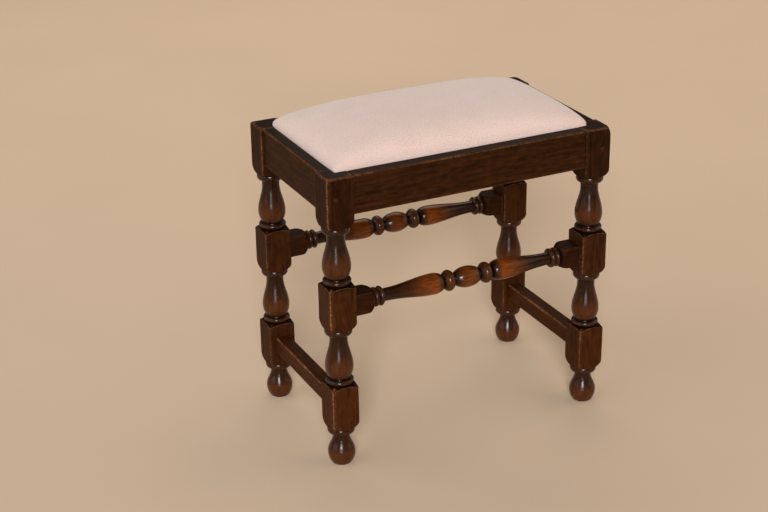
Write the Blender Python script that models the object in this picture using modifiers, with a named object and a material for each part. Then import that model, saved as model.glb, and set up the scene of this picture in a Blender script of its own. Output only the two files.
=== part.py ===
"""Upholstered stool: a turned and joined oak frame with a loose drop-in seat.

Metres, +Z up. X runs along the stool's long side and -Y is its front. The origin is on the floor,
under the middle of the stool.
"""

import math

import bmesh
import bpy

# Overall sizes of the frame
WIDTH = 0.465
DEPTH = 0.281
LEG_TOP = 0.460
LEG_SQUARE = 0.0425

# Fits
FIT = 0.0003
MORTISE_RELIEF = 0.001
OVERLAP = 0.008
BILLET_ALLOWANCE = 1.03

# Heights along a leg, from the floor up: foot, square blocks and the two turnings between them
FOOT_HEIGHT = 0.0725
LOW_BLOCK = 0.0555
MID_BLOCK = 0.053
TOP_BLOCK = 0.066
LEG_STEPS = 16

# Turned details of a leg
TURNING_ALLOWANCE = 0.0001
SHOULDER_DROP = 0.0196
SHOULDER_RISE = 0.006
COLLAR_INSET = 0.0014
OVOLO_INSET = 0.0004
OVOLO_HEIGHT = 0.0108
NECK_RADIUS = 0.0133
NECK_FILLET = 0.0007
NECK_DROP = 0.0076
BASE_RADIUS = 0.0166
BASE_DROP = 0.0165
QUIRK_RADIUS = 0.0162
QUIRK_HEIGHT = 0.0018
BEAD_INSET = 0.0002
BEAD_HEIGHT = 0.0078
FOOT_NECK_RADIUS = 0.0127
FOOT_NECK_DROP = 0.0045
FOOT_BALL_CENTRE = 0.0175
FOOT_BALL_DROP = 0.0255
FOOT_BALL_INSET = 0.0005
FOOT_PAD_RADIUS = 0.0157
EASED_CORNER = 0.002

# Rails under the seat
RAIL_HEIGHT = 0.059
RAIL_THICKNESS = 0.0295
LONG_RAIL_SETBACK = 0.002
SIDE_RAIL_SETBACK = 0.004
SEAT_BORDER = 0.023
TENON_THICKNESS = 0.009
TENON_SHOULDER = 0.004
LONG_TENON_INSET = 0.009
LONG_TENON_WALL = 0.006
SIDE_TENON_INSET = 0.021
SIDE_TENON_WALL = 0.003

# Pegs through the long rails' tenons
PEG_RADIUS = 0.00325
PEG_TIP_RADIUS = 0.0027
PEG_LENGTH = 0.026
PEG_INSET = 0.014
PEG_DROP = 0.032
PEG_SUNK = 0.0002
PEG_SIDES = 12

# Turned stretchers at the middle blocks
STRETCHER_SQUARE = 0.0335
STRETCHER_BELOW_MIDDLE = 0.0035
STRETCHER_BLOCK = 0.033
STRETCHER_STEPS = 16
STRETCHER_SHOULDER = 0.018
STRETCHER_RING = 0.0085
STRETCHER_RING_RADIUS = 0.0149
STRETCHER_NECK_RADIUS = 0.0097
STRETCHER_BELLY_RADIUS = 0.0162
STRETCHER_BELLY_FROM_MIDDLE = 0.058
STRETCHER_PEAR_HOLLOW = 1.25
STRETCHER_PEAR_END_RADIUS = 0.0110
STRETCHER_BEAD_WIDTH = 0.0196
STRETCHER_COVE_RADIUS = 0.0105
STRETCHER_BALL_HALF = 0.0212
STRETCHER_BALL_ANGLE = 0.82
STRETCHER_TENON = (0.026, 0.012, 0.022)

# Plain side stretchers at the low blocks
SIDE_STRETCHER_THICKNESS = 0.0225
SIDE_STRETCHER_HEIGHT = 0.0265
SIDE_STRETCHER_BELOW_MIDDLE = 0.0022
SIDE_STRETCHER_TENON = (0.009, 0.026, 0.018)
SIDE_STRETCHER_EASE = 0.0015

# Drop-in seat
SEAT_GAP = 0.0015
SEAT_CORNER = 0.012
COVER_THICKNESS = 0.001
COVER_TURN_UNDER = 0.018
MEMBER_WIDTH = 0.038
MEMBER_THICKNESS = 0.015
STRAP_WIDTH = 0.047
STRAP_THICKNESS = 0.0012
STRAP_EDGE = 0.012
LONG_STRAPS = 2
CROSS_STRAPS = 4
HESSIAN_THICKNESS = 0.0007
HESSIAN_EDGE = 0.008
PAD_EDGE = 0.0008
CROWN = 0.028
CROWN_POWERS = (6.0, 4.0, 0.4)
RIM_RISE = 0.002
ROLL_LINES = (0.0, 0.0015, 0.005)
ROLL_WIDTH = 0.030
DUST_COVER_THICKNESS = 0.0007
DUST_COVER_GAP = 0.002

# Derived places
HALF_X = WIDTH / 2
HALF_Y = DEPTH / 2
INNER_X = HALF_X - LEG_SQUARE
INNER_Y = HALF_Y - LEG_SQUARE
AXIS_X = HALF_X - LEG_SQUARE / 2
AXIS_Y = HALF_Y - LEG_SQUARE / 2
TURNING = (LEG_TOP - FOOT_HEIGHT - LOW_BLOCK - MID_BLOCK - TOP_BLOCK) / 2
LOW_BLOCK_TOP = FOOT_HEIGHT + LOW_BLOCK
MID_BLOCK_BOTTOM = LOW_BLOCK_TOP + TURNING
MID_BLOCK_TOP = MID_BLOCK_BOTTOM + MID_BLOCK
TOP_BLOCK_BOTTOM = MID_BLOCK_TOP + TURNING
CORNER_RADIUS = LEG_SQUARE * math.sqrt(0.5)
BILLET_RADIUS = CORNER_RADIUS * BILLET_ALLOWANCE
BELLY_RADIUS = LEG_SQUARE / 2 - TURNING_ALLOWANCE
COLLAR_RADIUS = BELLY_RADIUS - COLLAR_INSET
OVOLO_RADIUS = BELLY_RADIUS - OVOLO_INSET
RIM = LEG_TOP + RIM_RISE
PAD_LOW = RIM - FIT - PAD_EDGE
HESSIAN_LOW = PAD_LOW - FIT - HESSIAN_THICKNESS
STRAP_STEP = STRAP_THICKNESS + FIT
STRAP_LOW = HESSIAN_LOW - 2 * STRAP_STEP
MEMBER_HIGH = STRAP_LOW - FIT
MEMBER_LOW = MEMBER_HIGH - MEMBER_THICKNESS
LEDGE = MEMBER_LOW - FIT - COVER_THICKNESS - FIT
RAIL_BOTTOM = LEG_TOP - RAIL_HEIGHT
TENON_LOW = RAIL_BOTTOM + TENON_SHOULDER
TENON_HIGH = LEDGE - TENON_SHOULDER
LONG_TENON = LEG_SQUARE - LONG_TENON_WALL
SIDE_TENON = LEG_SQUARE - LONG_TENON_INSET - TENON_THICKNESS - SIDE_TENON_WALL
WELL_X = HALF_X - SEAT_BORDER
WELL_Y = HALF_Y - SEAT_BORDER
COVER_X = WELL_X - SEAT_GAP - COVER_THICKNESS
COVER_Y = WELL_Y - SEAT_GAP - COVER_THICKNESS
MEMBER_X = COVER_X - FIT
MEMBER_Y = COVER_Y - FIT
STRETCHER_HEIGHT = (MID_BLOCK_BOTTOM + MID_BLOCK_TOP) / 2 - STRETCHER_BELOW_MIDDLE
SIDE_STRETCHER_Z = (FOOT_HEIGHT + LOW_BLOCK_TOP) / 2 - SIDE_STRETCHER_BELOW_MIDDLE

CORNERS = {
    "front_left": (-1, -1),
    "front_right": (1, -1),
    "back_left": (-1, 1),
    "back_right": (1, 1),
}

# Colour and roughness of each material
OAK = ((0.045, 0.016, 0.007), 0.34)
PEG_OAK = ((0.060, 0.030, 0.018), 0.45)
BEECH = ((0.420, 0.270, 0.140), 0.70)
JUTE = ((0.300, 0.200, 0.105), 0.95)
HESSIAN = ((0.360, 0.240, 0.120), 0.95)
FIBRE = ((0.560, 0.500, 0.400), 1.0)
LINEN = ((0.620, 0.520, 0.450), 0.92)
LINING = ((0.035, 0.033, 0.032), 0.95)


def start():
    """An empty scene with one collection for the pieces and one for the cutters."""
    for obj in list(bpy.data.objects):
        bpy.data.objects.remove(obj, do_unlink=True)
    groups = []
    for name in ("upholstered_stool", "cutters"):
        group = bpy.data.collections.new(name)
        bpy.context.scene.collection.children.link(group)
        groups.append(group)
    return groups


def add(name, bm, group, location=(0, 0, 0)):
    """A new object from a bmesh, in one of the two collections."""
    mesh = bpy.data.meshes.new(name)
    bm.to_mesh(mesh)
    bm.free()
    obj = bpy.data.objects.new(name, mesh)
    obj.location = location
    group.objects.link(obj)
    if group.name == "cutters":
        obj.hide_render = True
        obj.display_type = "WIRE"
    return obj


def finish(obj, look):
    """The piece's own material."""
    colour, roughness = look
    material = bpy.data.materials.new(obj.name + "_finish")
    material.use_nodes = True
    shader = material.node_tree.nodes["Principled BSDF"]
    shader.inputs["Base Color"].default_value = (*colour, 1.0)
    shader.inputs["Roughness"].default_value = roughness
    shader.inputs["Metallic"].default_value = 0.0
    obj.data.materials.append(material)
    return obj


def box(name, low, high, group):
    """A box between two corners given in any order, with its origin at its middle."""
    size = [abs(b - a) for a, b in zip(low, high)]
    middle = [(a + b) / 2 for a, b in zip(low, high)]
    bm = bmesh.new()
    bmesh.ops.create_cube(bm, size=1.0)
    bmesh.ops.scale(bm, vec=size, verts=bm.verts)
    return add(name, bm, group, middle)


def bevel_along(obj, axis, width, segments):
    """Bevels the four edges of a box that run along one axis."""
    bm = bmesh.new()
    bm.from_mesh(obj.data)
    edges = []
    for edge in bm.edges:
        run = edge.verts[0].co - edge.verts[1].co
        if abs(run[axis]) > run.length - FIT:
            edges.append(edge)
    bmesh.ops.bevel(bm, geom=edges, offset=width, segments=segments, profile=0.5, affect="EDGES")
    bm.to_mesh(obj.data)
    bm.free()


def join(obj, other, operation):
    """A Boolean of the piece with a cutter or a joined solid."""
    modifier = obj.modifiers.new(other.name, "BOOLEAN")
    modifier.object = other
    modifier.operation = operation
    modifier.solver = "EXACT"


def turned(name, profile, steps, group):
    """A solid turned about Z from (radius, height) points that run from the top down."""
    bm = bmesh.new()
    points = [bm.verts.new((r, 0.0, z)) for r, z in profile]
    for a, b in zip(points, points[1:]):
        bm.edges.new((a, b))
    obj = add(name, bm, group)
    screw = obj.modifiers.new("turning", "SCREW")
    screw.axis = "Z"
    screw.angle = math.tau
    screw.steps = steps
    screw.render_steps = steps
    screw.use_merge_vertices = True
    screw.merge_threshold = 0.00001
    screw.use_smooth_shade = True
    return obj


def arc(count, first, last):
    """Evenly spaced angles in radians."""
    return [first + (last - first) * i / count for i in range(count + 1)]


def quarter_shoulder(z):
    """The round under a square block, whose arrises end at height z."""
    reach = BILLET_RADIUS - COLLAR_RADIUS
    lift = SHOULDER_DROP * math.sqrt(1 - ((CORNER_RADIUS - COLLAR_RADIUS) / reach) ** 2)
    return [
        (COLLAR_RADIUS + reach * math.cos(a), z + lift - SHOULDER_DROP * math.sin(a))
        for a in arc(4, 0, math.pi / 2)
    ]


def ovolo(z_top, root):
    """A quarter round under a shoulder, widest at its top and drawn in to the root radius."""
    return [
        (root + (OVOLO_RADIUS - root) * math.cos(a), z_top - OVOLO_HEIGHT * math.sin(a))
        for a in arc(4, 0, math.pi / 2)
    ]


def ring(z_top, height, radius, root):
    """A half-round moulding on the root radius."""
    return [
        (root + (radius - root) * math.sin(a), z_top - height * (1 - math.cos(a)) / 2)
        for a in arc(4, 0, math.pi)
    ]


def swelling(neck, belly, steps, hollow=1.0):
    """An S curve between two (radius, height) points; above 1, hollow makes it swell later."""
    points = []
    for a in arc(steps, 0, math.pi):
        share = ((1 - math.cos(a)) / 2) ** hollow
        radius = neck[0] + (belly[0] - neck[0]) * share
        points.append((radius, neck[1] + (belly[1] - neck[1]) * a / math.pi))
    return points


def vase(z_top, z_bottom):
    """A narrow neck, the long swelling to the belly and a drawn-in base."""
    belly = z_bottom + BASE_DROP
    points = swelling((NECK_RADIUS, z_top - NECK_DROP), (BELLY_RADIUS, belly), 5)
    for a in arc(3, 0, math.pi / 2)[1:]:
        radius = BASE_RADIUS + (BELLY_RADIUS - BASE_RADIUS) * math.cos(a) ** 2
        points.append((radius, belly - BASE_DROP * math.sin(a)))
    return points


def turning(z_top, z_bottom):
    """Everything turned between the block above, ending at z_top, and the block below."""
    collar = quarter_shoulder(z_top)
    round_under = ovolo(collar[-1][1] - FIT, NECK_RADIUS + NECK_FILLET)
    bead_top = z_bottom + SHOULDER_RISE + BEAD_HEIGHT
    body = vase(round_under[-1][1], bead_top + QUIRK_HEIGHT)
    quirk = [(QUIRK_RADIUS, bead_top + QUIRK_HEIGHT / 2)]
    bead = ring(bead_top, BEAD_HEIGHT, BELLY_RADIUS - BEAD_INSET, BASE_RADIUS)
    slope = (CORNER_RADIUS - BASE_RADIUS) / SHOULDER_RISE
    reach = (BILLET_RADIUS - CORNER_RADIUS) / slope
    return collar + round_under + body + quirk + bead + [(BILLET_RADIUS, z_bottom - reach)]


def foot():
    """The collar, quarter round and pear-shaped ball below the low block."""
    collar = quarter_shoulder(FOOT_HEIGHT)
    round_under = ovolo(collar[-1][1] - FIT, FOOT_NECK_RADIUS + NECK_FILLET)
    neck = (FOOT_NECK_RADIUS, round_under[-1][1] - FOOT_NECK_DROP)
    ball_radius = BELLY_RADIUS - FOOT_BALL_INSET
    ball = swelling(neck, (ball_radius, FOOT_BALL_CENTRE), 5)
    for a in arc(4, 0, math.acos(FOOT_PAD_RADIUS / ball_radius))[1:-1]:
        ball.append((ball_radius * math.cos(a), FOOT_BALL_CENTRE - FOOT_BALL_DROP * math.sin(a)))
    ease = EASED_CORNER / 2
    pad = [(FOOT_PAD_RADIUS, ease), (FOOT_PAD_RADIUS - ease, 0.0), (0.0, 0.0)]
    return collar + round_under + ball + pad


def leg_profile():
    """(radius, height) of a whole leg from its top down, before it is kept inside its square."""
    crown = [
        (0.0, LEG_TOP),
        (CORNER_RADIUS - EASED_CORNER, LEG_TOP),
        (BILLET_RADIUS, LEG_TOP - EASED_CORNER - (BILLET_RADIUS - CORNER_RADIUS)),
    ]
    upper = turning(TOP_BLOCK_BOTTOM, MID_BLOCK_TOP)
    lower = turning(MID_BLOCK_BOTTOM, LOW_BLOCK_TOP)
    return crown + upper + lower + foot()


def corner_box(name, sign, x, y, z, group):
    """A box in one corner of the stool, from distances off its middle planes."""
    low = (sign[0] * x[0], sign[1] * y[0], z[0])
    high = (sign[0] * x[1], sign[1] * y[1], z[1])
    return box(name, low, high, group)


def long_tenon(grow, relief):
    """Distances off the middle planes that bound a front or back rail's tenon."""
    x = (INNER_X - OVERLAP, INNER_X + LONG_TENON + relief)
    outer = HALF_Y - LONG_TENON_INSET
    return x, (outer - TENON_THICKNESS - grow, outer + grow), (TENON_LOW - grow, TENON_HIGH + grow)


def side_tenon(grow, relief):
    """The same for a left or right rail's tenon."""
    y = (INNER_Y - OVERLAP, INNER_Y + SIDE_TENON + relief)
    outer = HALF_X - SIDE_TENON_INSET
    return (outer - TENON_THICKNESS - grow, outer + grow), y, (TENON_LOW - grow, TENON_HIGH + grow)


def stretcher_tenon(grow, relief):
    """The same for a turned stretcher's tenon."""
    length, thickness, height = STRETCHER_TENON
    x = (INNER_X - OVERLAP, INNER_X + length + relief)
    y = (AXIS_Y - thickness / 2 - grow, AXIS_Y + thickness / 2 + grow)
    return x, y, (STRETCHER_HEIGHT - height / 2 - grow, STRETCHER_HEIGHT + height / 2 + grow)


def side_stretcher_tenon(grow, relief):
    """The same for a plain side stretcher's tenon."""
    thickness, length, height = SIDE_STRETCHER_TENON
    x = (AXIS_X - thickness / 2 - grow, AXIS_X + thickness / 2 + grow)
    y = (INNER_Y - OVERLAP, INNER_Y + length + relief)
    return x, y, (SIDE_STRETCHER_Z - height / 2 - grow, SIDE_STRETCHER_Z + height / 2 + grow)


TENONS = {
    "long_rail": long_tenon,
    "side_rail": side_tenon,
    "turned_stretcher": stretcher_tenon,
    "side_stretcher": side_stretcher_tenon,
}


def peg_solid(name, sign, grow, group):
    """A tapered peg driven in from the front or back face of a leg."""
    length = PEG_LENGTH + (OVERLAP if grow else 0.0)
    bm = bmesh.new()
    bmesh.ops.create_cone(
        bm,
        cap_ends=True,
        segments=PEG_SIDES,
        radius1=PEG_RADIUS + grow,
        radius2=(PEG_RADIUS if grow else PEG_TIP_RADIUS) + grow,
        depth=length,
    )
    outer = HALF_Y - PEG_SUNK + (OVERLAP - MORTISE_RELIEF if grow else 0.0)
    middle = sign[1] * (outer - length / 2)
    obj = add(name, bm, group, (sign[0] * (HALF_X - PEG_INSET), middle, LEG_TOP - PEG_DROP))
    obj.rotation_euler = (sign[1] * math.pi / 2, 0, 0)
    return obj


def make_cutters(cutters):
    """The seat well, and each corner's mortises and peg hole."""
    well = box("seat_well", (-WELL_X, -WELL_Y, LEDGE), (WELL_X, WELL_Y, LEG_TOP + OVERLAP), cutters)
    mortises, peg_holes = {}, {}
    for corner, sign in CORNERS.items():
        mortises[corner] = [
            corner_box(f"mortise_{kind}_{corner}", sign, *tenon(FIT, MORTISE_RELIEF), cutters)
            for kind, tenon in TENONS.items()
        ]
        peg_holes[corner] = peg_solid("peg_hole_" + corner, sign, FIT, cutters)
    return well, mortises, peg_holes


def make_legs(parts, cutters, well, mortises, peg_holes):
    """Each leg is turned, then kept inside the square it was turned from, then cut for its joints."""
    profile = leg_profile()
    for corner, sign in CORNERS.items():
        leg = turned("leg_" + corner, profile, LEG_STEPS, parts)
        leg.location = (sign[0] * AXIS_X, sign[1] * AXIS_Y, 0.0)
        x, y, z = (INNER_X, HALF_X), (INNER_Y, HALF_Y), (-OVERLAP, LEG_TOP + OVERLAP)
        square = corner_box("square_" + corner, sign, x, y, z, cutters)
        join(leg, square, "INTERSECT")
        for cutter in mortises[corner] + [peg_holes[corner], well]:
            join(leg, cutter, "DIFFERENCE")
        finish(leg, OAK)


def add_tenons(piece, kind, corners, cutters):
    """Joins a tenon onto each end of a rail or stretcher."""
    for corner in corners:
        bounds = TENONS[kind](0.0, 0.0)
        tenon = corner_box(f"tenon_{piece.name}_{corner}", CORNERS[corner], *bounds, cutters)
        join(piece, tenon, "UNION")


def make_rails(parts, cutters, well, peg_holes):
    """Four rails, rebated on top for the seat and tenoned into the legs."""
    for side, y_sign in (("front", -1), ("back", 1)):
        outer = y_sign * (HALF_Y - LONG_RAIL_SETBACK)
        low = (-INNER_X + FIT, outer, RAIL_BOTTOM)
        high = (INNER_X - FIT, outer - y_sign * RAIL_THICKNESS, LEG_TOP)
        rail = box("rail_" + side, low, high, parts)
        corners = (side + "_left", side + "_right")
        add_tenons(rail, "long_rail", corners, cutters)
        for cutter in [well] + [peg_holes[corner] for corner in corners]:
            join(rail, cutter, "DIFFERENCE")
        finish(rail, OAK)
    for side, x_sign in (("left", -1), ("right", 1)):
        outer = x_sign * (HALF_X - SIDE_RAIL_SETBACK)
        low = (outer, -INNER_Y + FIT, RAIL_BOTTOM)
        high = (outer - x_sign * RAIL_THICKNESS, INNER_Y - FIT, LEG_TOP)
        rail = box("rail_" + side, low, high, parts)
        add_tenons(rail, "side_rail", ("front_" + side, "back_" + side), cutters)
        join(rail, well, "DIFFERENCE")
        finish(rail, OAK)


def make_pegs(parts):
    """One peg through each long rail's tenon."""
    for corner, sign in CORNERS.items():
        finish(peg_solid("peg_" + corner, sign, 0.0, parts), PEG_OAK)


def half_stretcher():
    """(radius, distance from the middle) from the middle ball out to the square end block."""
    end = INNER_X - FIT
    block = end - STRETCHER_BLOCK
    rings = block - 2 * STRETCHER_RING
    belly = STRETCHER_BELLY_FROM_MIDDLE
    ball_reach = STRETCHER_BALL_HALF / math.sin(STRETCHER_BALL_ANGLE)
    ball = [
        (STRETCHER_BELLY_RADIUS * math.cos(a), ball_reach * math.sin(a))
        for a in arc(3, 0.0, STRETCHER_BALL_ANGLE)
    ]
    bead_end = STRETCHER_BALL_HALF + FIT + STRETCHER_BEAD_WIDTH
    bead = ring(bead_end, STRETCHER_BEAD_WIDTH, STRETCHER_BELLY_RADIUS, STRETCHER_COVE_RADIUS)
    pear_start = bead_end + FIT
    pear = []
    for a in arc(3, 0, math.pi / 2):
        swell = (STRETCHER_BELLY_RADIUS - STRETCHER_PEAR_END_RADIUS) * math.sin(a)
        rise = (belly - pear_start) * (1 - math.cos(a))
        pear.append((STRETCHER_PEAR_END_RADIUS + swell, pear_start + rise))
    taper = swelling((STRETCHER_NECK_RADIUS, rings), pear[-1], 6, STRETCHER_PEAR_HOLLOW)
    pear += reversed(taper[:-1])
    mouldings = []
    for i in (1, 2):
        top = rings + i * STRETCHER_RING
        moulding = ring(top, STRETCHER_RING - FIT, STRETCHER_RING_RADIUS, STRETCHER_COVE_RADIUS)
        mouldings += reversed(moulding)
    billet = STRETCHER_SQUARE * math.sqrt(0.5) * BILLET_ALLOWANCE
    shoulder = []
    for a in arc(4, 0, math.pi / 2)[1:]:
        radius = STRETCHER_COVE_RADIUS + (billet - STRETCHER_COVE_RADIUS) * math.sin(a)
        shoulder.append((radius, block + STRETCHER_SHOULDER * (1 - math.cos(a))))
    return ball + bead[::-1] + pear + mouldings + shoulder + [(billet, end), (0.0, end)]


def make_turned_stretchers(parts, cutters):
    """Turned about their length, with square ends tenoned into the middle blocks."""
    half = half_stretcher()
    profile = [(r, d) for r, d in reversed(half)] + [(r, -d) for r, d in half[1:]]
    for side, y_sign in (("front", -1), ("back", 1)):
        stretcher = turned("turned_stretcher_" + side, profile, STRETCHER_STEPS, parts)
        stretcher.location = (0.0, y_sign * AXIS_Y, STRETCHER_HEIGHT)
        stretcher.rotation_euler = (0.0, math.pi / 2, 0.0)
        reach = INNER_X + OVERLAP
        half_square = STRETCHER_SQUARE / 2
        low = (-reach, y_sign * AXIS_Y - half_square, STRETCHER_HEIGHT - half_square)
        high = (reach, y_sign * AXIS_Y + half_square, STRETCHER_HEIGHT + half_square)
        join(stretcher, box("stretcher_square_" + side, low, high, cutters), "INTERSECT")
        add_tenons(stretcher, "turned_stretcher", (side + "_left", side + "_right"), cutters)
        finish(stretcher, OAK)


def make_side_stretchers(parts, cutters):
    """Plain bars with eased edges, tenoned into the low blocks."""
    for side, x_sign in (("left", -1), ("right", 1)):
        middle = x_sign * AXIS_X
        low = (
            middle - SIDE_STRETCHER_THICKNESS / 2,
            -INNER_Y + FIT,
            SIDE_STRETCHER_Z - SIDE_STRETCHER_HEIGHT / 2,
        )
        high = (
            middle + SIDE_STRETCHER_THICKNESS / 2,
            INNER_Y - FIT,
            SIDE_STRETCHER_Z + SIDE_STRETCHER_HEIGHT / 2,
        )
        bar = box("side_stretcher_" + side, low, high, parts)
        bevel_along(bar, 1, SIDE_STRETCHER_EASE, 2)
        add_tenons(bar, "side_stretcher", ("front_" + side, "back_" + side), cutters)
        finish(bar, OAK)


def make_seat_frame(parts, cutters):
    """Four members halved together, with the outer corners rounded for the cover."""
    low = (-MEMBER_X, -MEMBER_Y, MEMBER_LOW - OVERLAP)
    outline = box("seat_frame_outline", low, (MEMBER_X, MEMBER_Y, MEMBER_HIGH + OVERLAP), cutters)
    bevel_along(outline, 2, SEAT_CORNER, 4)
    half_way = (MEMBER_LOW + MEMBER_HIGH) / 2
    inner_x, inner_y = MEMBER_X - MEMBER_WIDTH, MEMBER_Y - MEMBER_WIDTH
    wide_x, wide_y = MEMBER_X + OVERLAP, MEMBER_Y + OVERLAP
    members = []
    for side, y_sign in (("front", -1), ("back", 1)):
        low = (-wide_x, y_sign * inner_y, MEMBER_LOW)
        member = box("seat_frame_" + side, low, (wide_x, y_sign * wide_y, MEMBER_HIGH), parts)
        join(member, outline, "INTERSECT")
        for x_sign, end in ((-1, "left"), (1, "right")):
            lap_low = (x_sign * (inner_x - FIT), y_sign * (inner_y - OVERLAP), half_way - FIT / 2)
            lap_high = (x_sign * wide_x, y_sign * (wide_y + OVERLAP), MEMBER_HIGH + OVERLAP)
            join(member, box(f"lap_{side}_{end}", lap_low, lap_high, cutters), "DIFFERENCE")
        members.append(finish(member, BEECH))
    for side, x_sign in (("left", -1), ("right", 1)):
        low = (x_sign * inner_x, -wide_y, MEMBER_LOW)
        member = box("seat_frame_" + side, low, (x_sign * wide_x, wide_y, MEMBER_HIGH), parts)
        join(member, outline, "INTERSECT")
        for y_sign, end in ((-1, "front"), (1, "back")):
            lap_low = (x_sign * (inner_x - OVERLAP), y_sign * (inner_y - FIT), MEMBER_LOW - OVERLAP)
            lap_high = (x_sign * (wide_x + OVERLAP), y_sign * wide_y, half_way + FIT / 2)
            join(member, box(f"lap_{side}_{end}", lap_low, lap_high, cutters), "DIFFERENCE")
        members.append(finish(member, BEECH))
    return members


def strap(name, half_length, crossings, parts):
    """A strap along X that rises over some of the straps it crosses; crossings holds (place, over)."""
    stations = [(-half_length, 0.0)]
    for place, over in crossings:
        level = STRAP_STEP if over else 0.0
        reach = STRAP_WIDTH / 2 + FIT
        stations += [(place - reach, level), (place + reach, level)]
    stations.append((half_length, 0.0))
    bm = bmesh.new()
    bmesh.ops.create_grid(bm, x_segments=len(stations) - 1, y_segments=1, size=1.0)
    for v in bm.verts:
        x, z = stations[round((v.co.x + 1) / 2 * (len(stations) - 1))]
        v.co = (x, v.co.y * STRAP_WIDTH / 2, z)
    obj = add(name, bm, parts)
    shell = obj.modifiers.new("thickness", "SOLIDIFY")
    shell.thickness = STRAP_THICKNESS
    shell.offset = 1.0
    return obj


def evenly(count, span):
    """Places of a row of straps spread over the frame's opening."""
    return [(i - (count - 1) / 2) * span / count for i in range(count)]


def make_webbing(parts):
    """Long and cross straps woven over and under each other on top of the seat frame."""
    rows = evenly(LONG_STRAPS, 2 * (MEMBER_Y - MEMBER_WIDTH))
    columns = evenly(CROSS_STRAPS, 2 * (MEMBER_X - MEMBER_WIDTH))
    straps = []
    for i, y in enumerate(rows):
        crossings = [(x, (i + j) % 2 == 0) for j, x in enumerate(columns)]
        obj = strap(f"webbing_long_{i + 1}", MEMBER_X - STRAP_EDGE, crossings, parts)
        obj.location = (0.0, y, STRAP_LOW)
        straps.append(finish(obj, JUTE))
    for j, x in enumerate(columns):
        crossings = [(y, (i + j) % 2 == 1) for i, y in enumerate(rows)]
        obj = strap(f"webbing_cross_{j + 1}", MEMBER_Y - STRAP_EDGE, crossings, parts)
        obj.location = (x, 0.0, STRAP_LOW)
        obj.rotation_euler = (0.0, 0.0, math.pi / 2)
        straps.append(finish(obj, JUTE))
    return straps


def make_sheets(parts):
    """Hessian stretched over the webbing, and the dust cover under the seat."""
    x, y = MEMBER_X - HESSIAN_EDGE, MEMBER_Y - HESSIAN_EDGE
    top = HESSIAN_LOW + HESSIAN_THICKNESS
    hessian = box("hessian", (-x, -y, HESSIAN_LOW), (x, y, top), parts)
    inner_x = HALF_X - SIDE_RAIL_SETBACK - RAIL_THICKNESS - DUST_COVER_GAP
    inner_y = HALF_Y - LONG_RAIL_SETBACK - RAIL_THICKNESS - DUST_COVER_GAP
    low = LEDGE - DUST_COVER_THICKNESS
    dust_cover = box("dust_cover", (-inner_x, -inner_y, low), (inner_x, inner_y, LEDGE), parts)
    clip = inner_x - INNER_X + inner_y - INNER_Y + 2 * DUST_COVER_GAP
    bevel_along(dust_cover, 2, clip, 1)
    return [finish(hessian, HESSIAN), finish(dust_cover, LINING)]


def edge_lines(half, segments):
    """Grid lines across the seat, close together at the rolled edges."""
    rolls = (*ROLL_LINES, SEAT_CORNER, ROLL_WIDTH)
    inner = half - ROLL_WIDTH
    middle = [-inner + 2 * inner * i / segments for i in range(1, segments)]
    left = [-half + d for d in rolls]
    return left + middle + [-d for d in reversed(left)]


def dome(x, y, half_x, half_y):
    """Height of the crown above the rim."""
    power_x, power_y, roundness = CROWN_POWERS
    across = max(0.0, 1 - (abs(x) / half_x) ** power_x)
    along = max(0.0, 1 - (abs(y) / half_y) ** power_y)
    return CROWN * (across * along) ** roundness


def rounded_corner(x, y, half_x, half_y):
    """Draws the corner of a rectangle in to a round."""
    over_x = abs(x) - (half_x - SEAT_CORNER)
    over_y = abs(y) - (half_y - SEAT_CORNER)
    if over_x <= 0 or over_y <= 0:
        return x, y
    scale = max(over_x, over_y) / math.hypot(over_x, over_y)
    x = math.copysign(half_x - SEAT_CORNER + over_x * scale, x)
    y = math.copysign(half_y - SEAT_CORNER + over_y * scale, y)
    return x, y


def crowned_sheet(half_x, half_y, rim):
    """A bmesh of the crowned top with rounded corners, open along its rim."""
    xs, ys = edge_lines(half_x, 8), edge_lines(half_y, 5)
    bm = bmesh.new()
    bmesh.ops.create_grid(bm, x_segments=len(xs) - 1, y_segments=len(ys) - 1, size=1.0)
    for v in bm.verts:
        x = xs[round((v.co.x + 1) / 2 * (len(xs) - 1))]
        y = ys[round((v.co.y + 1) / 2 * (len(ys) - 1))]
        v.co = (*rounded_corner(x, y, half_x, half_y), rim + dome(x, y, half_x, half_y))
    return bm


def extend_rim(bm, place):
    """Draws the open rim out to new places; place maps (x, y) to a point."""
    rim = [e for e in bm.edges if e.is_boundary]
    made = bmesh.ops.extrude_edge_only(bm, edges=rim)["geom"]
    for v in made:
        if isinstance(v, bmesh.types.BMVert):
            v.co = place(v.co.x, v.co.y)


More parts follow.
